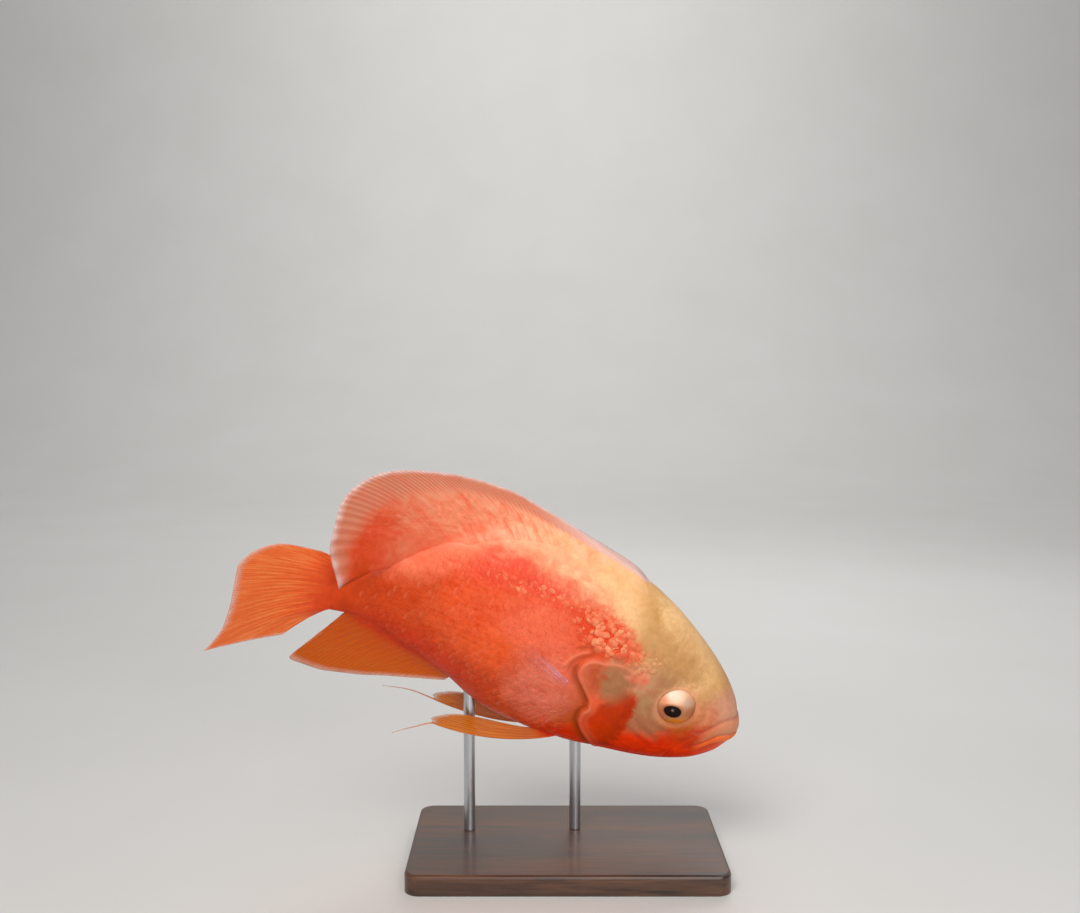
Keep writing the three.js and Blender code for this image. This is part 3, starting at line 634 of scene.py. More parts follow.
# %% Fin builder
def root_fillet(straight, reach, upper):
    """Half the thickness that carries the back (or belly) smoothly up into a fin."""
    s, z = -straight[:, 0], straight[:, 2]
    crest = top(s) if upper else bottom(s)
    height = (z - crest) * (1 if upper else -1)
    inner = crest - reach / 2 if upper else crest + reach / 2
    outside = half_depth(s, inner) * np.exp(-(height + reach / 2) / reach)
    depth = np.maximum(-height, 0.05)
    body = half_depth(s, z) * (1 - 0.06 * ramp(depth, reach / 2, reach))
    return np.where(depth > reach / 2, body, outside)


def rayed_fin(name, columns, rows, middle, half, facts, slot):
    """A closed fin: middle(u, v) is its middle surface and half(u, v) half its thickness."""
    layers = []
    for face in (1, -1):
        mesh, places = flat_grid(columns, rows)
        u, v = places[:, 0], places[:, 1]
        step = 0.002
        across = middle(np.minimum(u + step, 1), v) - middle(np.maximum(u - step, 0), v)
        along = middle(u, np.minimum(v + step, 1)) - middle(u, np.maximum(v - step, 0))
        edge = (u > 1e-4) & (u < 1 - 1e-4) & (v > 1e-4) & (v < 1 - 1e-4)
        offset = face * half(u, v) * edge
        straight = middle(u, v) + offset[:, None] * unit(np.cross(across, along))
        length = np.linalg.norm(middle(u, 0 * v + 1) - middle(u, 0 * v), axis=1)
        from_margin = (1 - v) * length
        pale_edge = {"margin": 1 - ramp(from_margin, 0.3, 4.5)}
        place_points(mesh, straight, facts(u, v, straight) | pale_edge)
        layers.append(mesh)
    return welded(name, layers, slot, name)


# %% [markdown]
# ## Dorsal fin
# The back fin has 13 stiff spines in front and 21 soft rays behind, which grow into a tall
# lobe that folds over to the right. In an oscar its lower half is thick flesh covered with
# small scales, so this fin is thick at its root and flares out where it meets the back. Each
# station is a share of the rays, the s of a ray's root, the s and z of its tip, and how far
# the tip leans sideways.

# %% Dorsal fin
DORSAL = smooth_columns([
    (0, 73, 76, 57.4, 0), (0.1, 81, 86, 61.4, 0), (0.27, 97, 105, 65.2, 0),
    (0.42, 113, 124, 68.9, -0.5),
    (0.54, 127, 141, 72.2, -1), (0.64, 140, 160, 75.4, -2), (0.73, 152, 181, 76, -4),
    (0.8, 163, 201, 74.2, -5.5), (0.86, 173, 221, 70.8, -8), (0.91, 181, 235, 63, -10),
    (0.95, 188, 242, 50, -12), (0.98, 193, 240, 30, -13), (1, 198, 226, 6, -12),
])
DORSAL_RAYS, DORSAL_SPINES = 34, 13
FLESH_ENDS = smooth_curve([
    (0, 0.15), (0.3, 0.22), (0.54, 0.3), (0.64, 0.42), (0.73, 0.54), (0.8, 0.62), (0.86, 0.62), (0.91, 0.64),
    (0.95, 0.7), (0.98, 0.78), (1, 0.86),
])
ROOT_DEPTH = 6.5
SPINE_SHARE = 0.3


def ray_place(u):
    """Spreads the fin's columns so that soft rays get more of them than spines."""
    spines = DORSAL_SPINES / DORSAL_RAYS
    return np.where(u < SPINE_SHARE, u / SPINE_SHARE * spines,
                    spines + (u - SPINE_SHARE) / (1 - SPINE_SHARE) * (1 - spines))


def root_share(u):
    """How far each ray runs on inside the body, as a share of what shows."""
    base, s, z, _ = DORSAL(ray_place(u))
    return np.minimum(2.6, ROOT_DEPTH / np.hypot(s - base, z - top(base)))


def shown(u, v):
    """The place along the part of a ray that shows: 0 at the back, 1 at the margin."""
    hidden = root_share(u) / (1 + root_share(u))
    return np.clip((v - hidden) / (1 - hidden), 0, 1)


print("dorsal rays:", DORSAL_RAYS, "of them spines:", DORSAL_SPINES)


# %% Dorsal surface
def dorsal_middle(u, v):
    w = ray_place(u)
    base, s, z, shift = DORSAL(w)
    between = np.abs((w * DORSAL_RAYS) % 1 - 0.5) * 2
    notch = 0.25 * (1 - ramp(w, 0.28, 0.4)) * ramp(w, 0.02, 0.1)
    tip = np.stack([-s, 0 * s, z + 0.4 - notch * between**2], -1)
    back = np.stack([-base, 0 * base, top(base)], -1)
    foot = back - root_share(u)[:, None] * (tip - back)
    foot[:, 2] = np.minimum(foot[:, 2], top(base) - 4.5)
    point = bowed(foot, tip, v, -0.03 - 0.12 * w)
    out = shown(u, v)
    point[:, 1] = shift * out ** (1 + 0.6 * (1 - w)) * (1 + 0.5 * (1 - out))
    return point


def dorsal_ridge(u, v):
    w, out = ray_place(u), shown(u, v)
    offset = np.abs((w * DORSAL_RAYS) % 1 - 0.5)
    spine = hill(offset, 0, 0.15 * (1 - 0.5 * out)) * (1 - 0.9 * ramp(out, 0.6, 0.95))
    return np.where(w * DORSAL_RAYS < DORSAL_SPINES, spine, soft_rays(w * DORSAL_RAYS, out, 0.05, 0.25))


def dorsal_half(u, v):
    w, out = ray_place(u), shown(u, v)
    flesh = 0.9 + 1.3 * ramp(w, 0.35, 0.7)
    ends = ramp(u, 0, 0.05) * ramp(1 - u, 0, 0.05)
    blade = 0.2 + flesh * (1 - ramp(out, -0.2, 1.35 * FLESH_ENDS(w))) ** 0.8
    fillet = root_fillet(dorsal_middle(u, v), 5.0, True) * ends * (1 - ramp(w, 0.84, 0.96))
    ridge = (0.22 - 0.08 * out) * dorsal_ridge(u, v) * ramp(out, 0.05, 0.35)
    return np.hypot(blade, fillet) + ridge


def fin_facts(ridge, flesh):
    """What the paint of a fin reads: the forms of the skin, and places on the fin itself."""

    def facts(u, v, straight):
        made = form_masks(-straight[:, 0], straight[:, 2])
        made.update(ridge=ridge(u, v), outward=v, flesh=flesh(u, v), along=u)
        return made

    return facts


def dorsal_flesh(u, v):
    return ramp(FLESH_ENDS(ray_place(u)) - shown(u, v), -0.14, 0.14)


dorsal_facts = fin_facts(dorsal_ridge, dorsal_flesh)
rayed_fin("dorsal_fin", 430, 60, dorsal_middle, dorsal_half, dorsal_facts, "pale_fin")

# %% [markdown]
# ## Anal fin
# The anal fin mirrors the rear of the dorsal fin, and is thinner and clearer.

# %% Anal fin
ANAL = smooth_columns([
    (0, 145, 150, -38.5, 0), (0.15, 152, 163, -42, 0), (0.3, 161, 180, -45.6, 0),
    (0.45, 170, 196, -48.2, -0.5), (0.6, 180, 211, -48.6, -1), (0.75, 190, 225, -45.8, -1.5),
    (0.87, 198, 233.5, -41.8, -2),
    (0.94, 204, 229, -36, -1.5), (1, 209, 221, -27, -1),
])
ANAL_RAYS = 18


def anal_middle(u, v):
    base, s, z, shift = ANAL(u)
    foot = np.stack([-base, 0 * base, bottom(base) + 5], -1)
    point = bowed(foot, np.stack([-s, 0 * s, z], -1), v, np.full(len(u), -0.06))
    point[:, 1] = shift * v * v
    return point


def anal_ridge(u, v):
    return soft_rays(u * ANAL_RAYS, v, 0.3, 0.62)


def anal_half(u, v):
    ends = ramp(u, 0, 0.05) * ramp(1 - u, 0, 0.05)
    fillet = root_fillet(anal_middle(u, v), 3.5, False) * ends
    blade = 0.18 + 0.7 * (1 - ramp(v, 0.1, 0.55))
    return np.hypot(blade, fillet) + (0.14 - 0.05 * v) * anal_ridge(u, v) * ramp(v, 0.2, 0.4)


anal_facts = fin_facts(anal_ridge, lambda u, v: ramp(0.2 - v, -0.1, 0.1))
rayed_fin("anal_fin", 250, 44, anal_middle, anal_half, anal_facts, "orange_fin")

# %% [markdown]
# ## Tail fin
# The tail fin opens like a fan from the thick root of the tail. Its lower corner is drawn
# out to a point, and its upper corner is rounded.

# %% Tail fin
CAUDAL = smooth_columns([
    (0, 15.2, 236, 19, 0), (0.12, 13, 256, 21, 0), (0.25, 9.8, 269, 17, 0), (0.38, 6, 276, 8, 0),
    (0.5, 2, 275, -2, 0), (0.62, -1.6, 273.5, -14, 0), (0.74, -5, 273, -26, 0),
    (0.85, -8, 278.5, -40.5, 0), (0.93, -9.8, 258, -35.6, 0), (1, -11.2, 240, -31, 0),
])
CAUDAL_BASE, CAUDAL_RAYS = 221, 17


def caudal_middle(u, v):
    z0, s, z, _ = CAUDAL(u)
    foot = np.stack([-CAUDAL_BASE + 0 * z0, 0 * z0, z0], -1)
    point = bowed(foot, np.stack([-s, 0 * s, z], -1), v, 0.1 * (0.3 - u))
    point[:, 1] += 0.9 * np.sin(7 * u + 0.6) * v * v
    return point


def caudal_ridge(u, v):
    return soft_rays(u * CAUDAL_RAYS, v, 0.16, 0.45)


def caudal_half(u, v):
    rim = ramp(u, 0, 0.06) * ramp(1 - u, 0, 0.06)
    flesh = 2.7 * np.exp(-((v / 0.3) ** 2)) * (0.25 + 0.75 * rim)
    return 0.18 + flesh + (0.24 - 0.1 * v) * caudal_ridge(u, v) * ramp(v, 0.08, 0.4)


caudal_facts = fin_facts(caudal_ridge, lambda u, v: ramp(0.3 - v + 0.05 * np.sin(60 * u), -0.16, 0.16))
rayed_fin("caudal_fin", 290, 60, caudal_middle, caudal_half, caudal_facts, "orange_fin")

# %% [markdown]
# ## Paired fins
# The pectoral fins stand off the flanks like small clear fans. The pelvic fins trail under
# the belly, each with one long thread at its front edge.

# %% Pectoral fins
PECTORAL_BASE = ((91.5, -1.5), (85, -16))
PECTORAL = smooth_columns([
    (0, 113, 12), (0.08, 120, 14), (0.2, 127.5, 9.5), (0.4, 130.5, -3),
    (0.6, 126, -14), (0.8, 114, -23.5), (0.92, 103, -26.5), (1, 95, -25),
])
PECTORAL_RAYS, PECTORAL_SUNK, PECTORAL_STANDS_OFF = 13, 2, (1.2, 6.5)


def along_base(ends, u):
    """The places along a straight fin base, for shares u of its length."""
    (s0, z0), (s1, z1) = ends
    return s0 + (s1 - s0) * u, z0 + (z1 - z0) * u


def pectoral_middle(u, v, side):
    (s0, z0), (s1, z1) = along_base(PECTORAL_BASE, u), PECTORAL(u)
    near, far = PECTORAL_STANDS_OFF
    off = (near + PECTORAL_SUNK) * np.minimum(1, 4 * v) - PECTORAL_SUNK + far * v * v
    return on_side(s0 * (1 - v) + s1 * v, z0 * (1 - v) + z1 * v, side, off + 0.35 * np.sin(9 * u) * v)


def pectoral_ridge(u, v):
    return soft_rays(u * PECTORAL_RAYS, v, 0.45, 0.85)


def pectoral_half(u, v):
    return 0.13 + 0.5 * (1 - ramp(v, 0, 0.25)) + 0.1 * pectoral_ridge(u, v)


pectoral_facts = fin_facts(pectoral_ridge, lambda u, v: ramp(0.1 - v, -0.08, 0.08))
for side, name in SIDES:
    middle_surface = partial(pectoral_middle, side=side)
    rayed_fin("pectoral_fin_" + name, 200, 40, middle_surface, pectoral_half, pectoral_facts, "pale_fin")

# %% Pelvic fins
PELVIC_BASE = ((83, -42), (92, -43))
PELVIC = smooth_columns([
    (0, 149, -59, -4), (0.25, 151, -56.5, -4), (0.5, 147, -52.5, -4), (0.75, 137, -48.5, -3.5),
    (1, 121, -46, -3),
])
PELVIC_RAYS, PELVIC_SUNK, PELVIC_HALF_SPACING = 6, 2.5, 7


def pelvic_ray(u, side):
    """The foot, the tip and the bow of the pelvic ray at a share u of the fin's base."""
    (s0, z0), (s1, z1, out) = along_base(PELVIC_BASE, u), PELVIC(u)
    foot = np.stack([-s0, side * PELVIC_HALF_SPACING + 0 * u, z0 + PELVIC_SUNK], -1)
    return foot, np.stack([-s1, side * (PELVIC_HALF_SPACING - out), z1], -1), 0.2 - 0.14 * u


def pelvic_middle(u, v, side):
    foot, tip, bow = pelvic_ray(u, side)
    between = np.abs((u * PELVIC_RAYS) % 1 - 0.5) * 2
    ragged = 0.006 * between**2 + 0.014 * np.sin(9 * u) ** 2
    return bowed(foot, tip + (foot - tip) * ragged[:, None], v, bow)


def pelvic_ridge(u, v):
    return soft_rays(u * PELVIC_RAYS, v, 0.25, 0.6)


def pelvic_half(u, v):
    return 0.15 + 0.8 * (1 - ramp(v, 0, 0.4)) + 0.16 * pelvic_ridge(u, v)


pelvic_facts = fin_facts(pelvic_ridge, lambda u, v: ramp(0.12 - v, -0.1, 0.1))
for side, name in SIDES:
    middle_surface = partial(pelvic_middle, side=side)
    rayed_fin("pelvic_fin_" + name, 110, 44, middle_surface, pelvic_half, pelvic_facts, "orange_fin")

# %% [markdown]
# ## Threads of the pelvic fins
# The thread is a thin cord that grows out of the pelvic fin's tip and tapers to nothing. Its
# line goes through four places, the first two of them on a ray inside the fin, and a grid is
# rolled up around that line.

# %% Pelvic threads
THREAD_ENDS = {-1: [(158, -64), (168, -71)], 1: [(162, -57.5), (177, -59.5)]}
THREAD_OUT, THREAD_ROOT, THREAD_TIP = 4.5, 0.55, 0.2
thread_facts = fin_facts(lambda u, v: 0.6 + 0 * v, lambda u, v: 0 * v)
for side, name in SIDES:
    foot, tip, bow = pelvic_ray(np.array([0.08, 0.08]), side)
    start = bowed(foot, tip, np.array([0.84, 0.97]), bow)
    ends = [(-s, side * (PELVIC_HALF_SPACING + THREAD_OUT), z) for s, z in THREAD_ENDS[side]]
    line = smooth_columns([(i, *place) for i, place in enumerate([*start, *ends])])
    mesh, places = flat_grid(10, 48)
    run = places[:, 1] * 3
    at, before, after = (np.stack(line(r), -1) for r in (run, run - 0.02, np.minimum(run + 0.02, 3)))
    ahead = unit(after - before)
    sideways = unit(np.cross(ahead, (0, 0, 1)))
    upward = np.cross(sideways, ahead)
    angle, along = 2 * pi * places[:, :1], places[:, 1:]
    radius = (THREAD_ROOT - (THREAD_ROOT - THREAD_TIP) * along) * (along > 0) * (along < 1)
    straight = at + radius * (np.cos(angle) * sideways + np.sin(angle) * upward)
    facts = thread_facts(places[:, 0], 0.7 + 0.3 * places[:, 1], straight)
    place_points(mesh, straight, facts | {"margin": places[:, 1]})
    welded("pelvic_thread_" + name, [mesh], "orange_fin")

# %% [markdown]
# ## Paint helpers
# A material is a small graph of nodes. These helpers place a node, fill its sockets and link
# it, so that a graph reads from top to bottom like a recipe. A socket knows the tree that it
# belongs to, so a sum or a mix of sockets finds its tree by itself.


# %% Node helpers
def paint(red, green, blue):
    """A colour as a painter's chart gives it, from 0 to 255, for a shader's socket."""
    c = np.array((red, green, blue)) / 255
    linear = np.where(c <= 0.04045, c / 12.92, ((c + 0.055) / 1.055) ** 2.4)
    return (*linear.tolist(), 1)


def feed(socket, value):
    """Fills a socket with a value, or links another socket to it."""
    if isinstance(value, bpy.types.NodeSocket):
        socket.id_data.links.new(value, socket)
    else:
        socket.default_value = value


def fill(node, **inputs):
    """Feeds a node's inputs, which are named with _ for a space."""
    for name, value in inputs.items():
        feed(node.inputs[name.replace("_", " ")], value)


def add(tree, kind, settings=None, **inputs):
    """Adds a node with settings and inputs to a tree."""
    made = tree.nodes.new("ShaderNode" + kind)
    for name, value in (settings or {}).items():
        setattr(made, name, value)
    fill(made, **inputs)
    return made


def fact(tree, name, vector=False):
    """A number or vector that was kept on the mesh."""
    return add(tree, "Attribute", {"attribute_name": name}).outputs["Vector" if vector else "Fac"]


print("a coral tone in a shader's numbers:", [round(value, 3) for value in paint(236, 90, 48)])


# %% Arithmetic with sockets
def reckon(kind, operation, *values, clamp=None):
    """A node that works out one operation, in the tree that its sockets belong to."""
    tree = next(value for value in values if isinstance(value, bpy.types.NodeSocket)).id_data
    settings = {"operation": operation}
    made = add(tree, kind, settings if clamp is None else settings | {"use_clamp": clamp})
    for socket, value in zip(made.inputs, values):
        feed(socket, value)
    return made.outputs["Value" if operation == "LENGTH" else 0]


def times(*values):
    total = values[0]
    for value in values[1:]:
        total = reckon("Math", "MULTIPLY", total, value)
    return total


def plus(first, second, clamp=False):
    return reckon("Math", "ADD", first, second, clamp=clamp)


def minus(first, second, clamp=False):
    return reckon("Math", "SUBTRACT", first, second, clamp=clamp)


def spread(value, low=0.0, high=1.0, to_low=0.0, to_high=1.0, smooth=False):
    """Spreads the range from low to high over another range, evenly or eased at both ends."""
    settings = {"interpolation_type": "SMOOTHSTEP" if smooth else "LINEAR"}
    ranges = {"From_Min": low, "From_Max": high, "To_Min": to_low, "To_Max": to_high}
    return add(value.id_data, "MapRange", settings, Value=value, **ranges).outputs["Result"]


def mix(share, first, second):
    """The colour between two colours. These sockets share their names, so they go by number."""
    made = add(share.id_data, "Mix", {"data_type": "RGBA"})
    for index, value in ((0, share), (6, first), (7, second)):
        feed(made.inputs[index], value)
    return made.outputs[2]


def stretched_noise(place, stretch, **inputs):
    """A noise that runs along one axis, as wood grain and brush marks do."""
    moved = add(place.id_data, "Mapping", Vector=place, Scale=stretch).outputs["Vector"]
    return add(place.id_data, "TexNoise", Vector=moved, **inputs).outputs["Fac"]


# %% Groups and materials
def new_group(name, inputs, outputs):
    """An empty node group with named sockets, its input and its output node."""
    tree = bpy.data.node_groups.new(name, "ShaderNodeTree")
    for socket, kind, value in inputs:
        made = tree.interface.new_socket(socket, in_out="INPUT", socket_type="NodeSocket" + kind)
        made.default_value = value
    for socket, kind in outputs:
        tree.interface.new_socket(socket, in_out="OUTPUT", socket_type="NodeSocket" + kind)
    return tree, tree.nodes.new("NodeGroupInput"), tree.nodes.new("NodeGroupOutput")


def use(tree, group, **inputs):
    """Places a group in a tree and gives its outputs."""
    return add(tree, "Group", {"node_tree": group}, **inputs).outputs


def new_material(name):
    material = bpy.data.materials.new(name)
    material.use_nodes = True
    return material, material.node_tree, material.node_tree.nodes["Principled BSDF"]


def wear(material, pieces):
    """Gives a material to pieces."""
    for piece in pieces:
        piece.data.materials.append(material)
    count = len(material.node_tree.nodes)
    print(material.name, "with", count, "nodes, on", [piece.name for piece in pieces])


# %% [markdown]
# ## Shared effects
# Markings on a fish have no sharp border: the pigment lies in cells and drifts. The first
# group therefore gives every point a slightly displaced "paint place", so that all patches
# drawn on it come out ragged. It also gives four noises of different grain for mottling.
# The second group draws one soft oval patch on that place: this is how a painter would spot
# colour on a model, one named patch after the other.

# %% Paint place group
NOISES = ("Clouds", "Mottle", "Flecks", "Streaks")
grain_sockets = [("Place", "Vector"), *((name, "Float") for name in NOISES)]
grain, _, grain_out = new_group("paint_place", [], grain_sockets)
straight_mm = reckon("VectorMath", "MULTIPLY", fact(grain, "straight", True), (-1000, 1000, 1000))


def grain_noise(size, detail, low, high, distortion=0.0, place=straight_mm):
    """Noise of a grain size in millimetres: its colour, and its values spread over 0 to 1."""
    kind = {"Detail": detail, "Roughness": 0.6, "Distortion": distortion}
    noise = add(grain, "TexNoise", Vector=place, Scale=1 / size, **kind).outputs
    return noise["Color"], spread(noise["Fac"], low, high)


wide, clouds = grain_noise(22.0, 4.0, 0.36, 0.64, 0.4)
small, mottle = grain_noise(6.5, 4.0, 0.36, 0.64, 0.5)
_, flecks = grain_noise(2.2, 3.0, 0.38, 0.62)
turned = add(grain, "Mapping", Vector=straight_mm, Rotation=(0, radians(10), 0), Scale=(0.22, 0.6, 1.0))
_, streaks = grain_noise(3.4, 3.0, 0.42, 0.66, 0.8, turned.outputs["Vector"])
drift = reckon("VectorMath", "MULTIPLY_ADD", wide, (12, 0, 12), (-6, 0, -6))
jitter = reckon("VectorMath", "MULTIPLY_ADD", small, (9, 0, 9), (-4.5, 0, -4.5))
shift = reckon("VectorMath", "ADD", drift, jitter)
ragged = reckon("VectorMath", "MULTIPLY_ADD", straight_mm, (1, 0, 1), shift)
fill(grain_out, Place=ragged, Clouds=clouds, Mottle=mottle, Flecks=flecks, Streaks=streaks)
print("paint_place gives", [name for name, _ in grain_sockets])

# %% Pigment patch group
PATCH_SOCKETS = [
    ("Place", "Vector", (0, 0, 0)), ("Middle", "Vector", (0, 0, 0)), ("Tilt", "Vector", (0, 0, 0)),
    ("Half Size", "Vector", (1, 1, 1)), ("Softness", "Float", 0.4), ("Strength", "Float", 1.0),
]
patch, patch_in, patch_out = new_group("pigment_patch", PATCH_SOCKETS, [("Share", "Float")])
given = patch_in.outputs
lie = {"Location": given["Middle"], "Rotation": given["Tilt"], "Scale": given["Half Size"]}
moved = add(patch, "Mapping", {"vector_type": "TEXTURE"}, Vector=given["Place"], **lie).outputs[0]
reach = reckon("VectorMath", "LENGTH", moved)
inner, outer = minus(1.0, given["Softness"]), plus(1.0, given["Softness"])
fill(patch_out, Share=times(spread(reach, inner, outer, 1.0, 0.0, smooth=True), given["Strength"]))


def oval(place, middle, half, tilt, softness, strength):
    """The share of one soft oval patch at the paint place."""
    form = {"Middle": (middle[0], 0, middle[1]), "Half_Size": (half[0], 1, half[1])}
    form |= {"Tilt": (0, -radians(tilt), 0), "Softness": softness, "Strength": strength}
    return use(place.id_data, patch, Place=place, **form)["Share"]


print("groups:", [group.name for group in bpy.data.node_groups])

# %% [markdown]
# ## Skin paint
# The markings are named patches on the straight fish, from the broad ones to the small ones.
# Each has two tones that a noise mixes, so that no patch is one flat colour. On this fish the
# back is peach, the forehead tan, the cheek grey-brown, the throat deep red and the flank
# coral, with light and red streaks along it and a rough red patch on the shoulder.

# %% Patches of pigment
# name: (s, z) middle, half size, tilt in degrees, softness, strength, two tones
PIGMENT = {
    "rear flank": ((196, 4), (42, 26), 0, 0.45, 0.9, (216, 72, 14), (190, 56, 6)),
    "belly": ((124, -17), (38, 22), 0, 0.45, 0.85, (216, 80, 34), (190, 66, 26)),
    "rear belly": ((176, -24), (44, 15), 12, 0.5, 0.9, (214, 52, 0), (188, 42, 0)),
    "mid flank": ((140, -1), (17, 12), 0, 0.5, 0.7, (248, 96, 40), (230, 78, 26)),
    "rosy flank": ((117, 20), (22, 14), 0, 0.5, 0.8, (240, 110, 80), (226, 82, 56)),
    "red flank": ((156, 16), (16, 14), 0, 0.5, 0.7, (236, 80, 30), (218, 60, 16)),
    "coral band": ((138, 41), (50, 9), -6, 0.4, 0.95, (234, 84, 58), (228, 66, 42)),
    "salmon back": ((152, 66), (60, 18), -6, 0.35, 0.95, (248, 176, 138), (242, 148, 110)),
    "rear shoulder": ((184, 42), (28, 17), -38, 0.4, 0.9, (250, 146, 108), (242, 118, 80)),
    "peach back": ((96, 64), (44, 22), 0, 0.4, 1.0, (246, 190, 142), (236, 162, 116)),
    "peach nape": ((76, 52), (30, 14), 30, 0.4, 1.0, (246, 196, 140), (236, 178, 122)),
    "forehead": ((38, 32), (44, 20), 38, 0.3, 1.0, (206, 156, 96), (194, 142, 82)),
    "crown": ((46, 43), (26, 7), 40, 0.6, 0.9, (246, 200, 144), (236, 188, 132)),
    "temple": ((50, 28), (20, 13), 20, 0.5, 0.9, (198, 148, 94), (184, 134, 82)),
    "snout": ((12, 10), (14, 11), 45, 0.4, 1.0, (214, 158, 128), (200, 138, 108)),
    "cheek": ((49, 4), (12.5, 21), 0, 0.35, 1.0, (178, 132, 90), (166, 114, 74)),
    "low cheek": ((47, -9), (12, 8), 0, 0.6, 0.8, (180, 112, 78), (164, 94, 60)),
    "front cheek": ((25, 4), (11, 10), 0, 0.5, 0.8, (214, 130, 90), (196, 100, 58)),
    "under the eye": ((24, -9), (14, 8), -25, 0.4, 0.9, (204, 58, 4), (178, 46, 2)),
    "throat": ((42, -29), (56, 14), -10, 0.3, 1.0, (244, 58, 2), (220, 42, 0)),
    "throat edge": ((55, -36), (40, 5), -6, 0.6, 0.6, (240, 56, 4), (222, 44, 0)),
    "cover bar": ((65, -14), (8, 21), 4, 0.25, 1.0, (196, 54, 2), (174, 42, 0)),
    "cover foot": ((72, -22), (9, 13), 0, 0.35, 0.9, (222, 62, 4), (196, 48, 0)),
    "upper cover": ((62, 15), (9, 8), 0, 0.5, 0.9, (200, 148, 108), (200, 124, 90)),
    "cover grey": ((73, 10.5), (8.5, 13), -12, 0.5, 0.95, (174, 128, 88), (152, 98, 60)),
    "cover rear": ((84, 6), (6, 12), 0, 0.4, 0.9, (190, 82, 46), (172, 68, 32)),
    "behind the cover": ((89, -14), (9, 12), 0, 0.5, 0.8, (200, 90, 42), (180, 74, 28)),
    "fin pit": ((104, -8), (16, 20), 20, 0.6, 0.8, (240, 134, 108), (222, 106, 80)),
    "light over the eye": ((35.5, 18.4), (8, 3.2), -25, 0.6, 0.75, (236, 188, 138), (226, 172, 120)),
    "amber under the eye": ((36, -3.5), (7, 3.2), 20, 0.5, 0.7, (200, 108, 40), (184, 88, 22)),
    "amber by the eye": ((31, 0), (6, 5), 0, 0.5, 0.8, (196, 104, 30), (180, 84, 18)),
    "pink spots": ((63, 15.5), (5.5, 3.0), -20, 0.6, 0.75, (236, 136, 106), (224, 108, 80)),
}
FLANK, FLANK_DARK, SHADE = paint(236, 90, 48), paint(218, 70, 28), paint(120, 40, 16)
# name: (s, z) middle, half size, tilt, softness, strength, tone
STREAKS = {
    "light streaks of the upper flank": ((152, 54), (60, 13), -8, 0.5, 0.5, (255, 176, 136)),
    "light streaks of the flank": ((140, 14), (44, 20), -8, 0.6, 0.24, (250, 126, 80)),
    "red streaks": ((142, 38), (50, 11), -10, 0.6, 0.36, (222, 54, 34)),
}
print(len(PIGMENT), "patches and", len(STREAKS), "fields of streaks")

# %% [markdown]
# ## Lumps
# On the shoulder, the nape and in a line along the flank stand light lumps on a red ground,
# like loose scales. The light of the lumps is partly a painted highlight and the red between
# them partly painted shade. Separate raised domes come with the coat of scales. Between them
# the paint draws a fainter pattern of cells with dark borders, partly painted shade between
# the cells, so that the patch looks rough all over, and the bump of the skin uses the same
# pattern.

# %% Lump pattern
# name: (s, z) middle, half size, tilt, softness, strength of the red, of the light lumps
LUMPS = {
    "shoulder patch": ((84.5, 29.5), (19.5, 9), 10, 0.35, 0.95, 1.0),
    "scale marks": ((126, 36), (34, 4.5), -3, 0.6, 0.2, 0.7),
    "rear scale marks": ((172, 31), (20, 3.5), -28, 0.6, 0.1, 0.3),
    "nape marks": ((62, 24.5), (10, 7), 0, 0.6, 0.0, 0.7),
}
# The red stands partly for painted shade between the lumps, the light partly for a painted highlight on them.
LUMP_RED_AND_SHADE, LUMP_LIGHT_AND_HIGHLIGHT = paint(220, 62, 24), paint(250, 172, 124)


def lump_pattern(tree):
    """Round-backed lumps of 3 to 5 mm, like loose scales: 1 on a lump, 0 between."""
    place = fact(tree, "straight", True)
    noise = add(tree, "TexNoise", Vector=place, Scale=160.0, Detail=2.0).outputs["Color"]
    place = reckon("VectorMath", "MULTIPLY_ADD", noise, (0.003, 0.003, 0.003), place)
    size = {"Scale": 240.0, "Randomness": 0.95}
    cells = add(tree, "TexVoronoi", {"feature": "F1"}, Vector=place, **size).outputs["Color"]
    edges = add(tree, "TexVoronoi", {"feature": "DISTANCE_TO_EDGE"}, Vector=place, **size).outputs["Distance"]
    chosen = add(tree, "SeparateColor", Color=cells).outputs["Red"]
    return times(spread(edges, 0.03, 0.22, smooth=True), spread(chosen, 0.1, 0.75, 0.25))


def lump_share(place, column):
    """How strongly the lumps show here: column 0 for their red ground, 1 for the lumps."""
    total = 0.0
    for *form, red, light in LUMPS.values():
        total = reckon("Math", "MAXIMUM", total, oval(place, *form, (red, light)[column]))
    return total


print("fields of lumps:", list(LUMPS))

# %% [markdown]
# ## One colour for skin, scales and fins
# Skin, scales and the fleshy roots of the fins have to match where they meet. So one function
# lays all the patches over each other, and every material calls it. The fins leave out what
# only the head and shoulder have, because a material can hold only so many nodes.

# %% Skin colour
# mask: strength, tone
FORM_TONES = {
    "lid": (0.5, (222, 152, 112)),
    # The rim's rosy tone is partly a painted highlight where its mask is strongest.
    "rim": (0.8, (236, 136, 100)),
    # The groove's dark tone is painted shade in the recess behind the rim.
    "groove": (0.75, (156, 62, 10)),
    "upper_lip": (0.7, (210, 134, 92)),
    "lower_lip": (0.8, (246, 112, 38)),
    "lip_crease": (0.55, (186, 104, 82)),
}


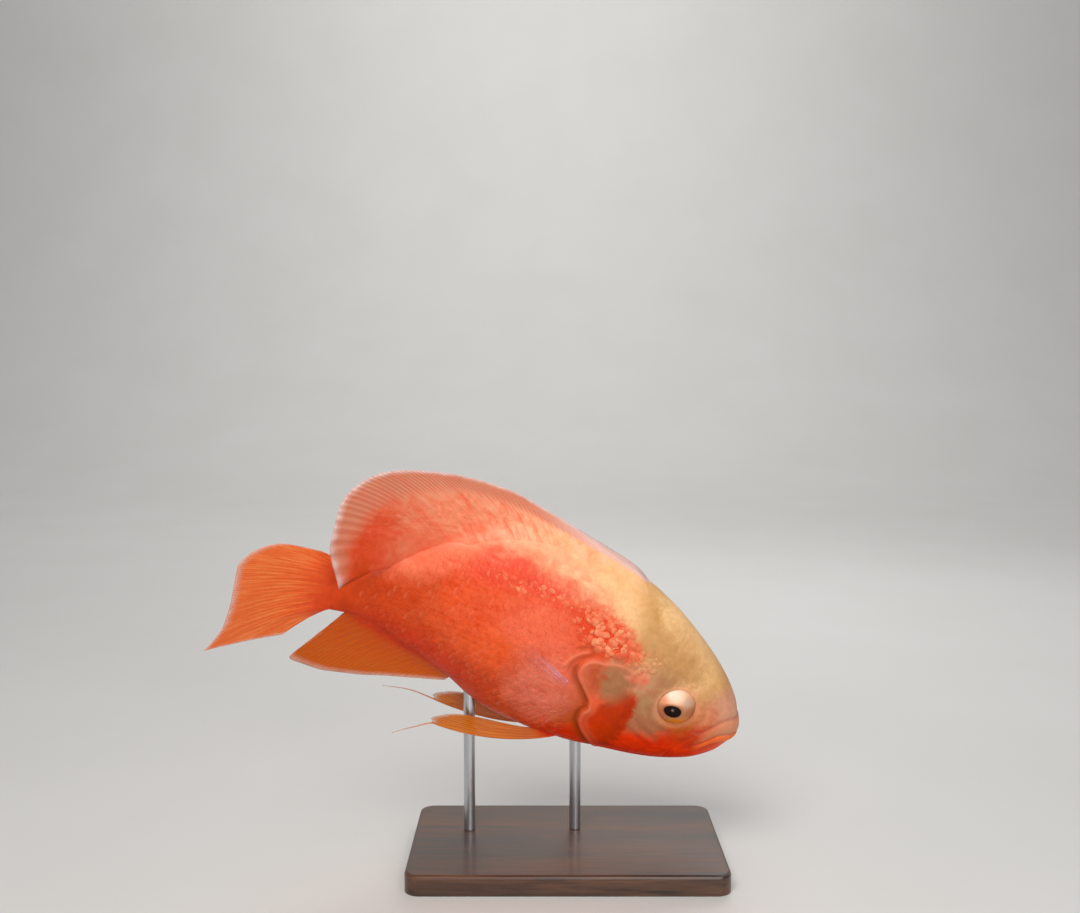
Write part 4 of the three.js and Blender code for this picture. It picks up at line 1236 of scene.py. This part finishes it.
def skin_colour(tree, lumps=None, face=True):
    """The painted colour of the body, which the scales and the fins' fleshy roots share."""
    base = use(tree, grain)
    place, cloud, blotch = base["Place"], base["Clouds"], base["Mottle"]
    colour = mix(cloud, FLANK, FLANK_DARK)
    blends = [plus(times(cloud, 0.6), times(blotch, 0.4)), blotch]
    for number, (*form, first, second) in enumerate(PIGMENT.values()):
        tone = mix(blends[number % 2], paint(*first), paint(*second))
        colour = mix(oval(place, *form), colour, tone)
    for number, (*form, tone) in enumerate(STREAKS.values()):
        streak = minus(1.0, base["Streaks"]) if number % 2 else base["Streaks"]
        colour = mix(times(oval(place, *form), streak), colour, paint(*tone))
    if face:
        # The red ground of the lumps is partly painted shade between them, and the light lumps are partly a
        # painted highlight.
        colour = mix(lump_share(place, 0), colour, LUMP_RED_AND_SHADE)
        light = times(lumps or lump_pattern(tree), lump_share(place, 1))
        colour = mix(times(light, plus(0.5, times(blotch, 0.5))), colour, LUMP_LIGHT_AND_HIGHLIGHT)
        for name, (strength, tone) in FORM_TONES.items():
            colour = mix(times(fact(tree, name), strength), colour, paint(*tone))
    return mix(times(base["Flecks"], 0.1), colour, SHADE)


def skin_bump(tree):
    """Fine pores and soft wrinkles, with the lumps of the shoulder standing out."""
    base = use(tree, grain)
    height = plus(times(base["Flecks"], 0.16), times(base["Mottle"], 0.3))
    lumps = times(lump_pattern(tree), lump_share(base["Place"], 1))
    height = plus(height, times(lumps, 1.6))
    return add(tree, "Bump", Strength=0.3, Distance=0.0005, Height=height).outputs["Normal"]


# %% Skin material
def satin(shader, roughness=0.42, coat=0.05, subsurface=0.06, reach=0.0012):
    """The constant part of a satin, fleshy surface."""
    fill(shader, Roughness=roughness, Specular_IOR_Level=0.12, Coat_Weight=coat, Coat_Roughness=0.25)
    fill(shader, Subsurface_Weight=subsurface, Subsurface_Radius=(1.0, 0.35, 0.15), Subsurface_Scale=reach)


skin_paint, tree, shader = new_material("oscar_skin")
satin(shader)
roughness = spread(use(tree, grain)["Clouds"], to_low=0.36, to_high=0.5)
fill(shader, Base_Color=skin_colour(tree), Normal=skin_bump(tree), Roughness=roughness)
wear(skin_paint, [fish_skin, *rings])

# %% [markdown]
# ## Lie of the scales
# Scales stand in staggered rows, each overlapping the next one behind it. The rows keep their
# distance around the body, so they run out at the back and the belly as on a real fish. A
# table of distances around each section says which angle lies how many millimetres above or
# below the widest line.

# %% Distances around the body
HALF_TABLE = 120
table_angles = np.linspace(-pi / 2, pi / 2, 2 * HALF_TABLE + 1)
table_s = np.arange(0, TAIL_ROOT + 3.0)
outline = section(*np.meshgrid(table_s, table_angles, indexing="ij"))
steps = np.linalg.norm(np.diff(outline, axis=1), axis=-1)
around_mm = np.concatenate([np.zeros((len(table_s), 1)), np.cumsum(steps, axis=1)], axis=1)
around_mm -= around_mm[:, HALF_TABLE : HALF_TABLE + 1]


def angle_at(s, arc):
    """The section angle that lies arc millimetres above the widest line, at each s."""
    row = np.clip(s.astype(int), 0, len(table_s) - 2)
    part = s - row
    angle = np.zeros(len(s))
    for i in np.unique(row):
        at = row == i
        low = np.interp(arc[at], around_mm[i], table_angles)
        high = np.interp(arc[at], around_mm[i + 1], table_angles)
        angle[at] = low + (high - low) * part[at]
    return angle


print("half girth at the deepest place:", around_mm[112, -1].round(1), "mm above the widest line")

# %% [markdown]
# ## One scale
# A scale is a thin rounded plate, sunk in the skin in front and standing a little proud at
# its rear edge. It starts as a flat grid that is drawn out to a disc, and gets an underside
# so that it is a closed solid. Every scale of the coat is a copy of this one.

# %% Scale tile
SCALE_LENGTH, SCALE_HEIGHT = 7.4, 6.4
TILE_CELLS = 7


def scale_tile():
    """A closed plate: x along the fish from -1 to 1, y across, z 1 on top and 0 below."""
    shape = bmesh.new()
    bmesh.ops.create_grid(shape, x_segments=TILE_CELLS, y_segments=TILE_CELLS, size=1)
    for vert in shape.verts:
        x, y = (float(np.sign(c)) * abs(c) ** 0.5 for c in vert.co.xy)
        vert.co = (x * (1 - y * y / 2) ** 0.5, y * (1 - x * x / 2) ** 0.5, 1)
    rim = [edge for edge in shape.edges if edge.is_boundary]
    skirt = bmesh.ops.extrude_edge_only(shape, edges=rim)["geom"]
    lower = [vert for vert in skirt if isinstance(vert, bmesh.types.BMVert)]
    bmesh.ops.translate(shape, verts=lower, vec=(0, 0, -1))
    bmesh.ops.contextual_create(shape, geom=[edge for edge in shape.edges if edge.is_boundary])
    bmesh.ops.recalc_face_normals(shape, faces=shape.faces)
    return as_mesh(shape, "scale_tile")


tile = scale_tile()
tile_points = points_of(tile)
tile_tops = np.array([all(tile_points[i, 2] > 0.5 for i in face.vertices) for face in tile.polygons])
print("one scale:", len(tile.vertices), "points,", len(tile.polygons), "faces")

# %% [markdown]
# ## Where scales grow
# The scales start behind the head and the gill cover and end before the fins. They stand in
# columns down the side, and every second column is shifted by half a scale. Where the coat
# ends they sink into the skin, so that no hard border shows.

# %% Rows of scales
SCALE_STEP, ROW_STEP = 4.9, 3.5
COAT_FROM, COAT_TO, ROWS_EACH_WAY = 64.0, 216, 12
taper = smooth_curve([(60, 1), (150, 1), (226, 0.66)])
coat_s = [COAT_FROM]
while coat_s[-1] < COAT_TO:
    coat_s.append(coat_s[-1] + SCALE_STEP / 2 * float(taper(coat_s[-1])))


def coat_strength(s, arc, z):
    """1 where scales stand fully, 0 where the skin is bare."""
    row = np.clip(s.astype(int), 0, len(table_s) - 1)
    from_back, from_belly = around_mm[row, -1] - arc, arc - around_mm[row, 0]
    distance = nearest_on(cover_path, s, z)[0]
    covered = inside(cover_outline, s, z)
    strength = np.where(covered, 0, ramp(distance, 5, 11)) * ramp(s, 62, 74)
    strength *= ramp(from_back, 5, 12) * ramp(from_belly, 3, 9) * (1 - ramp(s, 206, 217))
    return strength * ramp(np.hypot((s - 88) / 11, (z + 9) / 13), 0.8, 1.2)


def scale_roots():
    """Roots of the scales as distances along and around the body, with their z and strength."""
    roots = []
    for column, s in enumerate(coat_s):
        rise = ROW_STEP * 2 * float(taper(s))
        rows = range(-ROWS_EACH_WAY, ROWS_EACH_WAY + 1)
        roots += [(s, (row + 0.5 * (column % 2)) * rise) for row in rows]
    room = np.array([around_mm[int(s), 0] < arc < around_mm[int(s), -1] for s, arc in roots])
    roots = np.array(roots)
    z = section(roots[:, 0], angle_at(*roots.T))[:, 2]
    strength = coat_strength(*roots.T, z)
    stay = room & (strength > 0.02)
    return roots[stay], z[stay], strength[stay]


roots_of_scales = scale_roots()
print("columns of scales:", len(coat_s), "scales on each side:", len(roots_of_scales[0]))

# %% [markdown]
# ## Raised lumps
# On the shoulder, the nape and in a line along the flank lie loose, swollen scales. They are
# the same plate, made a dome and turned at random. Random places are tried all over the
# front of the body, and those stay that fall in one of the three fields. The random numbers
# start from a fixed seed, so that the fish comes out the same each time.

# %% Lump places
# (s, z) middle, half size, tilt in degrees, height in millimetres
LUMP_FIELDS = [
    ((84.5, 29.5), (19, 8.6), 10, 0.8),
    ((62, 24.5), (9, 6), 0, 0.5),
    ((127, 37), (33, 3.2), -3, 0.4),
]
LUMP_TRIES, LUMP_SMALL, LUMP_LARGE = 1250, 1.3, 2.9


def lump_places(rng):
    """Random places of lumps, as distances along and around the body, with z and height."""
    tries = rng.random((LUMP_TRIES, 2)) * (115, 52) + (50, 8)
    draw = rng.random(LUMP_TRIES)
    s, z = tries[:, 0], section(tries[:, 0], angle_at(*tries.T))[:, 2]
    height = np.zeros(LUMP_TRIES)
    for (s0, z0), (half_s, half_z), tilt, tall in LUMP_FIELDS:
        c, d = cos(radians(tilt)), sin(radians(tilt))
        along, across = c * (s - s0) + d * (z - z0), c * (z - z0) - d * (s - s0)
        there = 1 - ramp(np.hypot(along / half_s, across / half_z), 0.75, 1.15)
        height = np.maximum(height, np.where(draw < there, tall * (0.4 + 0.6 * there), 0))
    free = ~inside(cover_outline, s, z) & (nearest_on(cover_path, s, z)[0] > 1.6)
    stay = free & (height > 0)
    return tries[stay], z[stay], height[stay]


def copies(seed):
    """Root, z, strength, lump height, tone, turn and half sizes of each copy of the tile."""
    rng = np.random.default_rng(seed)
    roots, z, strength = roots_of_scales
    spots, spot_z, tall = lump_places(rng)
    lump = np.concatenate([0 * strength, tall])
    roots = np.concatenate([roots, spots])
    z, strength = np.concatenate([z, spot_z]), np.concatenate([strength, 1 + 0 * tall])
    tone = rng.random(len(roots))
    turned = 2 * pi * rng.random(len(roots)) * (lump > 0)
    radius = LUMP_SMALL + (LUMP_LARGE - LUMP_SMALL) * rng.random(len(roots)) ** 1.5
    radius = radius * (0.5 + 0.5 * np.minimum(1, lump / 0.7))
    half_length = np.where(lump > 0, 1.25 * radius, SCALE_LENGTH / 2 * taper(roots[:, 0]))
    half_height = np.where(lump > 0, 0.85 * radius, SCALE_HEIGHT / 2 * taper(roots[:, 0]))
    return roots, z, strength, lump, tone, turned, half_length, half_height


print("lumps on the left side:", int((copies(3)[3] > 0).sum()))

# %% [markdown]
# ## The coat
# One mesh holds all copies of one side. Each copy is laid over the skin by its distances
# along and around the body, keeps a random tone, which makes the flank shimmer slightly from
# scale to scale, and gets a small patch of its own on the map named OFBake.

# %% Scale coat
MAP_LENGTH, MAP_GIRTH, PATCH_HALF = 240, 200, 0.0015


def stand_off(x, y, on_top, z, strength, lump, tone):
    """How far the points of a copy stand off the skin, in millimetres."""
    plate = -0.16 + 0.29 * ramp(x, -0.9, 0.75) * (1 - 0.45 * ramp(z, 36, 50))
    plate = plate * strength - 0.2 * (1 - strength)
    uneven = 1 + 0.35 * np.sin(2.1 * x + 9 * tone) * np.cos(2.6 * y + 5 * tone)
    radius = np.hypot(x, y)
    dome = (1 - radius**2) * uneven * lump * (0.8 + 0.7 * tone) + 0.25 * (1 - radius) - 0.25
    return np.where(on_top, np.where(lump > 0, dome, plate), -0.6)


def scale_coat(side, name, seed):
    """All scales and lumps of one side of the fish as one piece."""
    shape = bmesh.new()
    made = copies(seed)
    total, lumps = len(made[0]), int((made[3] > 0).sum())
    for _ in range(total):
        shape.from_mesh(tile)
    mesh = as_mesh(shape, name)
    made = (np.repeat(values, len(tile_points), axis=0) for values in made)
    roots, z, strength, lump, tone, turned, half_length, half_height = made
    x, y, height = np.tile(tile_points, (total, 1)).T
    c, d = np.cos(turned), np.sin(turned)
    wide, high = x * half_length, y * half_height
    s = roots[:, 0] + c * wide - d * high
    angle = angle_at(s, roots[:, 1] + d * wide + c * high)
    straight = section(s, angle)
    lift = body_relief(s, straight[:, 2])[0] + stand_off(x, y, height > 0.5, z, strength, lump, tone)
    straight = (straight + section_normal(s, angle) * lift[:, None]) * (1, side, 1)
    facts = form_masks(s, straight[:, 2])
    facts["tone"] = tone
    facts["rear_edge"] = ramp(x, 0.2, 0.95) * (lump == 0)
    facts["dome"] = (1 - np.hypot(x, y) ** 2) * (lump > 0)
    place_points(mesh, straight, facts)
    corner = np.empty(len(mesh.loops), np.int32)
    mesh.loops.foreach_get("vertex_index", corner)
    root_on_map = np.stack([roots[:, 0] / MAP_LENGTH, 0.5 + roots[:, 1] / MAP_GIRTH], -1)
    unwrap = (root_on_map + PATCH_HALF * np.stack([x, y], -1))[corner]
    mesh.uv_layers.new(name="OFBake").data.foreach_set("uv", unwrap.astype(np.float32).ravel())
    mesh.polygons.foreach_set("use_smooth", np.tile(tile_tops, total))
    if side < 0:
        mesh.flip_normals()
    piece = in_scene(name, mesh)
    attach(piece, "root")
    triangles = sum(len(face.vertices) - 2 for face in mesh.polygons)
    print(f"{name}: {total - lumps} scales, {lumps} lumps, {triangles} triangles")
    return piece


coats = [scale_coat(1, "scales_left", 3), scale_coat(-1, "scales_right", 5)]

# %% [markdown]
# ## Scale paint
# The scales wear the colour of the skin. Some show a lighter rear edge, partly a painted
# glint, and some a darker one, by their random tone, and the domes of the lumps are light on
# top, partly as a painted highlight, and red at their foot, partly as painted shade.

# %% Scale material
# The lighter edge tone is partly a painted glint along the scales' rear edges.
LIGHT_EDGE_AND_GLINT, DARK_EDGE, EDGE_STRENGTH = paint(255, 170, 128), paint(176, 44, 14), 0.34
scale_paint, tree, shader = new_material("oscar_scales")
satin(shader, 0.4, 0.08)
tone, noise = fact(tree, "tone"), use(tree, grain)
# The domes are painted light at their crown, partly as a painted highlight, and keep the red ground at their
# foot, partly as painted shade.
crown = spread(fact(tree, "dome"), 0.05, 0.5, smooth=True)
crown = times(crown, spread(noise["Flecks"], to_low=0.55))
colour = skin_colour(tree, times(spread(tone, 0.2, 0.9, 0.3), crown))
rear_edge = times(fact(tree, "rear_edge"), noise["Mottle"])
light, dark = minus(tone, 0.45, clamp=True), minus(0.45, tone, clamp=True)
for share, edge_tone in ((light, LIGHT_EDGE_AND_GLINT), (dark, DARK_EDGE)):
    colour = mix(times(share, rear_edge, EDGE_STRENGTH), colour, edge_tone)
fill(shader, Base_Color=colour, Normal=skin_bump(tree))
wear(scale_paint, coats)

# %% [markdown]
# ## Eye paint
# The eye is cream-white on top, partly its own colour and partly a painted highlight of the light
# from above, pink and tan at its sides and amber at its foot, with a brown ring around a black
# pupil that sits low and a small painted glint in it. Each tone is a soft oval zone, measured
# from the middle of the eyeball as the eye stands level in the picture. A thin varnish makes it glossy.

# %% Places on the eyeball
PUPIL_TILT, LEVEL = radians(12), radians(25)
eye_paint, tree, shader = new_material("eye_enamel")
fill(shader, Roughness=0.3, Specular_IOR_Level=0.1, Coat_Weight=0.12, Coat_Roughness=0.04)
on_eye = add(tree, "SeparateXYZ", Vector=fact(tree, "iris", True)).outputs
forward, up = (reckon("Math", "DIVIDE", on_eye[axis], MM) for axis in "XY")


def turned_by(angle, x, y):
    """Two directions on the eyeball, turned by an angle."""
    return plus(times(x, cos(angle)), times(y, sin(angle))), minus(times(y, cos(angle)), times(x, sin(angle)))


def oval_reach(place, middle, half):
    """How far out in an oval a place lies: 0 in its middle, 1 on its border."""
    shares = (reckon("Math", "DIVIDE", minus(p, m), h) for p, m, h in zip(place, middle, half))
    squares = (reckon("Math", "POWER", share, 2.0) for share in shares)
    return reckon("Math", "SQRT", plus(*squares))


def eye_zone(middle, half, soft):
    """A soft oval zone on the eyeball."""
    return spread(oval_reach(level, middle, half), 1 + soft, 1 - soft, smooth=True)


level = turned_by(LEVEL, forward, up)
from_pupil = minus(forward, PUPIL_AT[0]), minus(up, PUPIL_AT[1])
reach = oval_reach(turned_by(PUPIL_TILT, *from_pupil), (0, 0), PUPIL_HALF)
print("pupil of", 2 * PUPIL_HALF[0], "by", 2 * PUPIL_HALF[1], "mm on an eye of", 2 * EYE_RADIUS, "mm")

# %% Eye material
# name: (forward, up) middle of a zone, half size, softness, strength, two tones
EYE_ZONES = {
    # The upper half and its white top are partly the eye's cream colour and partly a painted highlight of the
    # light from above.
    "upper half with painted light": ((0.5, 7.8), (11.0, 5.2), 0.35, 0.95, (230, 178, 142), (222, 164, 128)),
    "white and painted highlight of the top": ((-0.9, 7.8), (4.8, 3.0), 0.7, 0.85, (252, 226, 202), (246, 212, 186)),
    "pink rear": ((-7.6, 4.6), (2.8, 4.0), 0.6, 0.8, (238, 158, 116), (220, 138, 98)),
    "brown over the pupil": ((-3.4, 1.8), (4.6, 1.8), 0.7, 0.75, (158, 98, 62), (146, 86, 52)),
    "blue spot": ((5.2, 3.4), (1.7, 1.9), 0.7, 0.6, (166, 162, 162), (178, 168, 160)),
    "pale front": ((7.6, 2.4), (2.8, 3.0), 0.6, 0.6, (214, 168, 134), (200, 152, 118)),
    "low front": ((6.4, -3.2), (4.6, 3.8), 0.6, 0.8, (180, 108, 62), (164, 92, 44)),
    "low rear": ((-8.4, -2.6), (2.8, 4.4), 0.6, 0.8, (198, 118, 80), (180, 102, 64)),
    "amber foot": ((-0.8, -7.8), (7.4, 3.6), 0.5, 1.0, (232, 138, 34), (206, 110, 18)),
}
noise = add(tree, "TexNoise", Vector=fact(tree, "iris", True), Scale=420.0, Detail=4.0).outputs["Fac"]
colour = mix(noise, paint(196, 142, 106), paint(180, 124, 88))
for *zone, strength, first, second in EYE_ZONES.values():
    tone = mix(noise, paint(*first), paint(*second))
    colour = mix(times(eye_zone(*zone), strength), colour, tone)
pupil_ring = spread(reach, 1.38, 1.02, smooth=True)
colour = mix(times(pupil_ring, 0.5), colour, paint(146, 76, 36))
colour = mix(spread(reach, 1.08, 0.94, smooth=True), colour, paint(22, 2, 1))
# A small pale spot in the upper part of the pupil is a painted glint, a painted reflection of light.
glint = eye_zone((-2.8, 1.1), (0.6, 0.6), 0.7)
fill(shader, Base_Color=mix(times(glint, 0.5), colour, paint(160, 142, 130)))
wear(eye_paint, eyes)

# %% [markdown]
# ## Fin paint
# Flesh at the root has the body's own paint. Farther out, the clear skin and the ridges of
# the rays have colours of their own, and the margin is pale. Where the real fin is glassy,
# the membrane between the rays lets some light through.


# %% Between the rays
def blade_colour(base, along, outward, ridge, near, far, ray, ray_strength, front):
    """The clear part of a fin: near to far tone, a tone for the front end, and the rays."""
    tone = plus(times(outward, 0.75), times(base["Mottle"], 0.25))
    colour = mix(tone, paint(*near), paint(*far))
    if front:
        colour = mix(spread(along, 0.55, 0.25, 0.0, 0.9), colour, paint(*front))
    uneven = plus(0.6, times(base["Clouds"], 0.4))
    return mix(times(ridge, ray_strength, uneven), colour, paint(*ray))


def brush_strokes(tree, along, outward, begin):
    """Strokes along the rays, from a share of the base on, or all over but off the root."""
    fan = add(tree, "CombineXYZ", X=along, Y=outward).outputs[0]
    strokes = stretched_noise(fan, (46.0, 3.0, 1.0), Scale=1.0, Detail=3.0, Distortion=0.6)
    strokes = spread(strokes, 0.45, 0.7, 0.0, 0.6)
    if begin is None:
        return times(strokes, spread(outward, 0.16, 0.5))
    return times(strokes, spread(along, begin, begin + 0.22))


# %% Fin materials
def fin_material(name, near, far, ray, margin, clear, ray_strength=0.6, ray_cover=0.55, fade=0.3,
                 front=None, streaks=None, streak_share=1.0, streak_from=None, first_ray_gleam=None):
    """Skin between rays that turns from the near to the far tone, with a pale margin."""
    material, tree, shader = new_material(name)
    satin(shader, 0.48, 0.1, 0.1, 0.001)
    base = use(tree, grain)
    marks = ("along", "outward", "ridge", "margin", "flesh")
    along, outward, ridge, edge, root = (fact(tree, mark) for mark in marks)
    colour = blade_colour(base, along, outward, ridge, near, far, ray, ray_strength, front)
    pale = times(edge, plus(0.5, times(ridge, 0.5)), plus(0.6, times(base["Mottle"], 0.6)))
    colour = mix(pale, colour, paint(*margin))
    fleshy = skin_colour(tree, face=False)
    if streaks:
        strokes = brush_strokes(tree, along, outward, streak_from)
        fleshy = mix(strokes, fleshy, paint(*streaks))
        colour = mix(times(strokes, streak_share), colour, paint(*streaks))
    flesh = plus(root, times(minus(base["Mottle"], 0.5), 0.3), clamp=True)
    colour = mix(times(flesh, spread(root, 0.0, 0.15)), colour, fleshy)
    solid = plus(times(ridge, ray_cover), root)
    # The first rays near the base get a painted lilac highlight, which also makes them less clear.
    if first_ray_gleam:
        gleam = times(spread(along, 0.3, 0.02), spread(outward, 0.9, 0.35))
        colour = mix(gleam, colour, paint(*first_ray_gleam))
        solid = plus(solid, times(gleam, plus(0.3, times(ridge, 0.45))))
    alpha = plus(1 - clear, times(solid, clear), clamp=True)
    alpha = times(alpha, minus(1.0, times(edge, fade)))
    pores = add(tree, "Bump", Strength=0.2, Distance=0.0003, Height=base["Flecks"]).outputs["Normal"]
    fill(shader, Base_Color=colour, Normal=pores, Alpha=alpha)
    return material


# %% Fins and their paint
FIN_PAINT = {
    "dorsal": fin_material(
        "dorsal_skin", near=(212, 102, 64), far=(210, 122, 90), ray=(242, 176, 148), margin=(252, 218, 210),
        clear=0.08, ray_strength=0.55, front=(228, 188, 178), streaks=(236, 82, 52), streak_share=0.3,
        streak_from=0.4),
    "anal": fin_material(
        "anal_skin", near=(206, 72, 0), far=(198, 92, 6), ray=(216, 108, 14), margin=(226, 170, 142),
        clear=0.12, ray_strength=0.2),
    "caudal": fin_material(
        "caudal_skin", near=(226, 80, 16), far=(240, 116, 56), ray=(246, 138, 78), margin=(232, 190, 176),
        clear=0.06, ray_strength=0.22, streaks=(252, 152, 84), streak_share=0.9),
    "pectoral": fin_material(
        "pectoral_skin", near=(230, 122, 96), far=(232, 132, 106), ray=(240, 158, 136),
        margin=(232, 140, 116), clear=0.97, ray_strength=0.3, ray_cover=0.08, fade=0.6,
        first_ray_gleam=(236, 176, 196)),
    "pelvic": fin_material(
        "pelvic_skin", near=(218, 92, 0), far=(192, 102, 12), ray=(228, 134, 40), margin=(206, 140, 90),
        clear=0.22, ray_strength=0.5, ray_cover=0.4, fade=0.6, streaks=(238, 140, 30)),
}
bare = [piece for piece in bpy.data.objects if piece.type == "MESH" and not piece.data.materials]
for fin, material in FIN_PAINT.items():
    wear(material, [piece for piece in bare if piece.name.split("_")[0] == fin])

# %% [markdown]
# ## Stand
# The base is a small slab of dark wood with a satin varnish, and the rods are brushed steel.
# Both finishes are noises stretched along the piece, as wood fibres and brush marks are.

# %% Stand materials
wood, tree, shader = new_material("dark_wood")
place = add(tree, "TexCoord").outputs["Object"]
figure = stretched_noise(place, (5.0, 60.0, 60.0), Scale=1.6, Detail=6.0, Roughness=0.6, Distortion=1.2)
figure = spread(figure, 0.35, 0.65)
fibre = stretched_noise(place, (40.0, 1400.0, 1400.0), Scale=1.0, Detail=3.0)
colour = mix(figure, paint(42, 24, 15), paint(98, 62, 38))
colour = mix(times(spread(fibre, 0.5, 0.68), 0.5), colour, paint(26, 14, 9))
fibres = add(tree, "Bump", Strength=0.15, Distance=0.0002, Height=fibre).outputs["Normal"]
fill(shader, Base_Color=colour, Roughness=spread(figure, to_low=0.32, to_high=0.48), Normal=fibres)
fill(shader, Coat_Weight=0.35, Coat_Roughness=0.15)

steel, tree, shader = new_material("brushed_steel")
place = add(tree, "TexCoord").outputs["Object"]
brush = stretched_noise(place, (4000.0, 4000.0, 60.0), Scale=1.0, Detail=2.0)
colour = mix(brush, paint(176, 178, 182), paint(208, 210, 214))
fill(shader, Metallic=1.0, Base_Color=colour, Roughness=spread(brush, to_low=0.24, to_high=0.38))
for material, names in ((wood, ["stand_base"]), (steel, ["stand_rod_front", "stand_rod_rear"])):
    nodes = [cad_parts[name] for name in names]
    for node in nodes:
        node.data.materials.clear()
    wear(material, nodes)

# %% [markdown]
# ## Floor, backdrop and light
# A studio sweep: a pale floor that curves up into a wall, so that no horizon shows. A large
# soft lamp above and in front works like a window, a second fills the shadows, a third behind
# draws a light line along the back, and a fourth lights the wall.

# %% Floor
FLOOR_FRONT, FLOOR_BACK, CURVE, WALL, HALF_WIDTH = -2.0, 1.6, 1.2, 3.0, 3.2
UNDER_STAND = 0.0002
sweep_length = FLOOR_BACK - FLOOR_FRONT + CURVE * pi / 2 + WALL
shape = bmesh.new()
bmesh.ops.create_grid(shape, x_segments=2, y_segments=80, size=1)
for vert in shape.verts:
    run = FLOOR_FRONT + (vert.co.y + 1) / 2 * sweep_length
    bend = min(max(run - FLOOR_BACK, 0) / CURVE, pi / 2)
    rise = max(run - FLOOR_BACK - CURVE * pi / 2, 0)
    up = CURVE * (1 - cos(bend)) + rise - UNDER_STAND
    vert.co = (vert.co.x * HALF_WIDTH, min(run, FLOOR_BACK) + CURVE * sin(bend), up)
floor = in_scene("floor", as_mesh(shape, "floor"))
floor.data.polygons.foreach_set("use_smooth", np.ones(len(floor.data.polygons), bool))
floor_paint, tree, shader = new_material("pale_floor")
place = add(tree, "TexCoord").outputs["Object"]
cloudy = add(tree, "TexNoise", Vector=place, Scale=6.0, Detail=3.0).outputs["Fac"]
fill(shader, Roughness=0.6, Base_Color=mix(cloudy, paint(206, 204, 200), paint(214, 212, 209)))
wear(floor_paint, [floor])


# %% Lights
def lamp(name, place, aim, power, size, colour=(1, 1, 1)):
    """A square soft lamp that looks at a place."""
    data = bpy.data.lights.new(name, "AREA")
    data.energy = power
    data.size = size
    data.color = colour
    made = in_scene(name, data)
    made.location = place
    made.rotation_euler = (Vector(aim) - Vector(place)).to_track_quat("-Z", "Y").to_euler()
    print("lamp", name, "of", power, "W,", size, "m wide")


lamp("key", (-0.25, -0.7, 0.95), (-0.02, 0, 0.12), 8.4, 0.55, (1, 0.98, 0.95))
lamp("fill", (0.35, -1.0, 0.12), (0, 0, 0.1), 6.5, 0.8, (1, 0.98, 0.96))
lamp("back", (0.3, 0.7, 0.8), (0, 0, 0.12), 3, 0.5, (0.97, 0.98, 1))
lamp("wall", (0, 1.2, 1.8), (0, 2.8, 0.6), 22, 1.2)
world = bpy.data.worlds.new("studio")
bpy.context.scene.world = world
world.use_nodes = True
fill(world.node_tree.nodes["Background"], Color=(0.9, 0.92, 0.95, 1), Strength=0.36)
bpy.context.scene.view_settings.view_transform = "Standard"
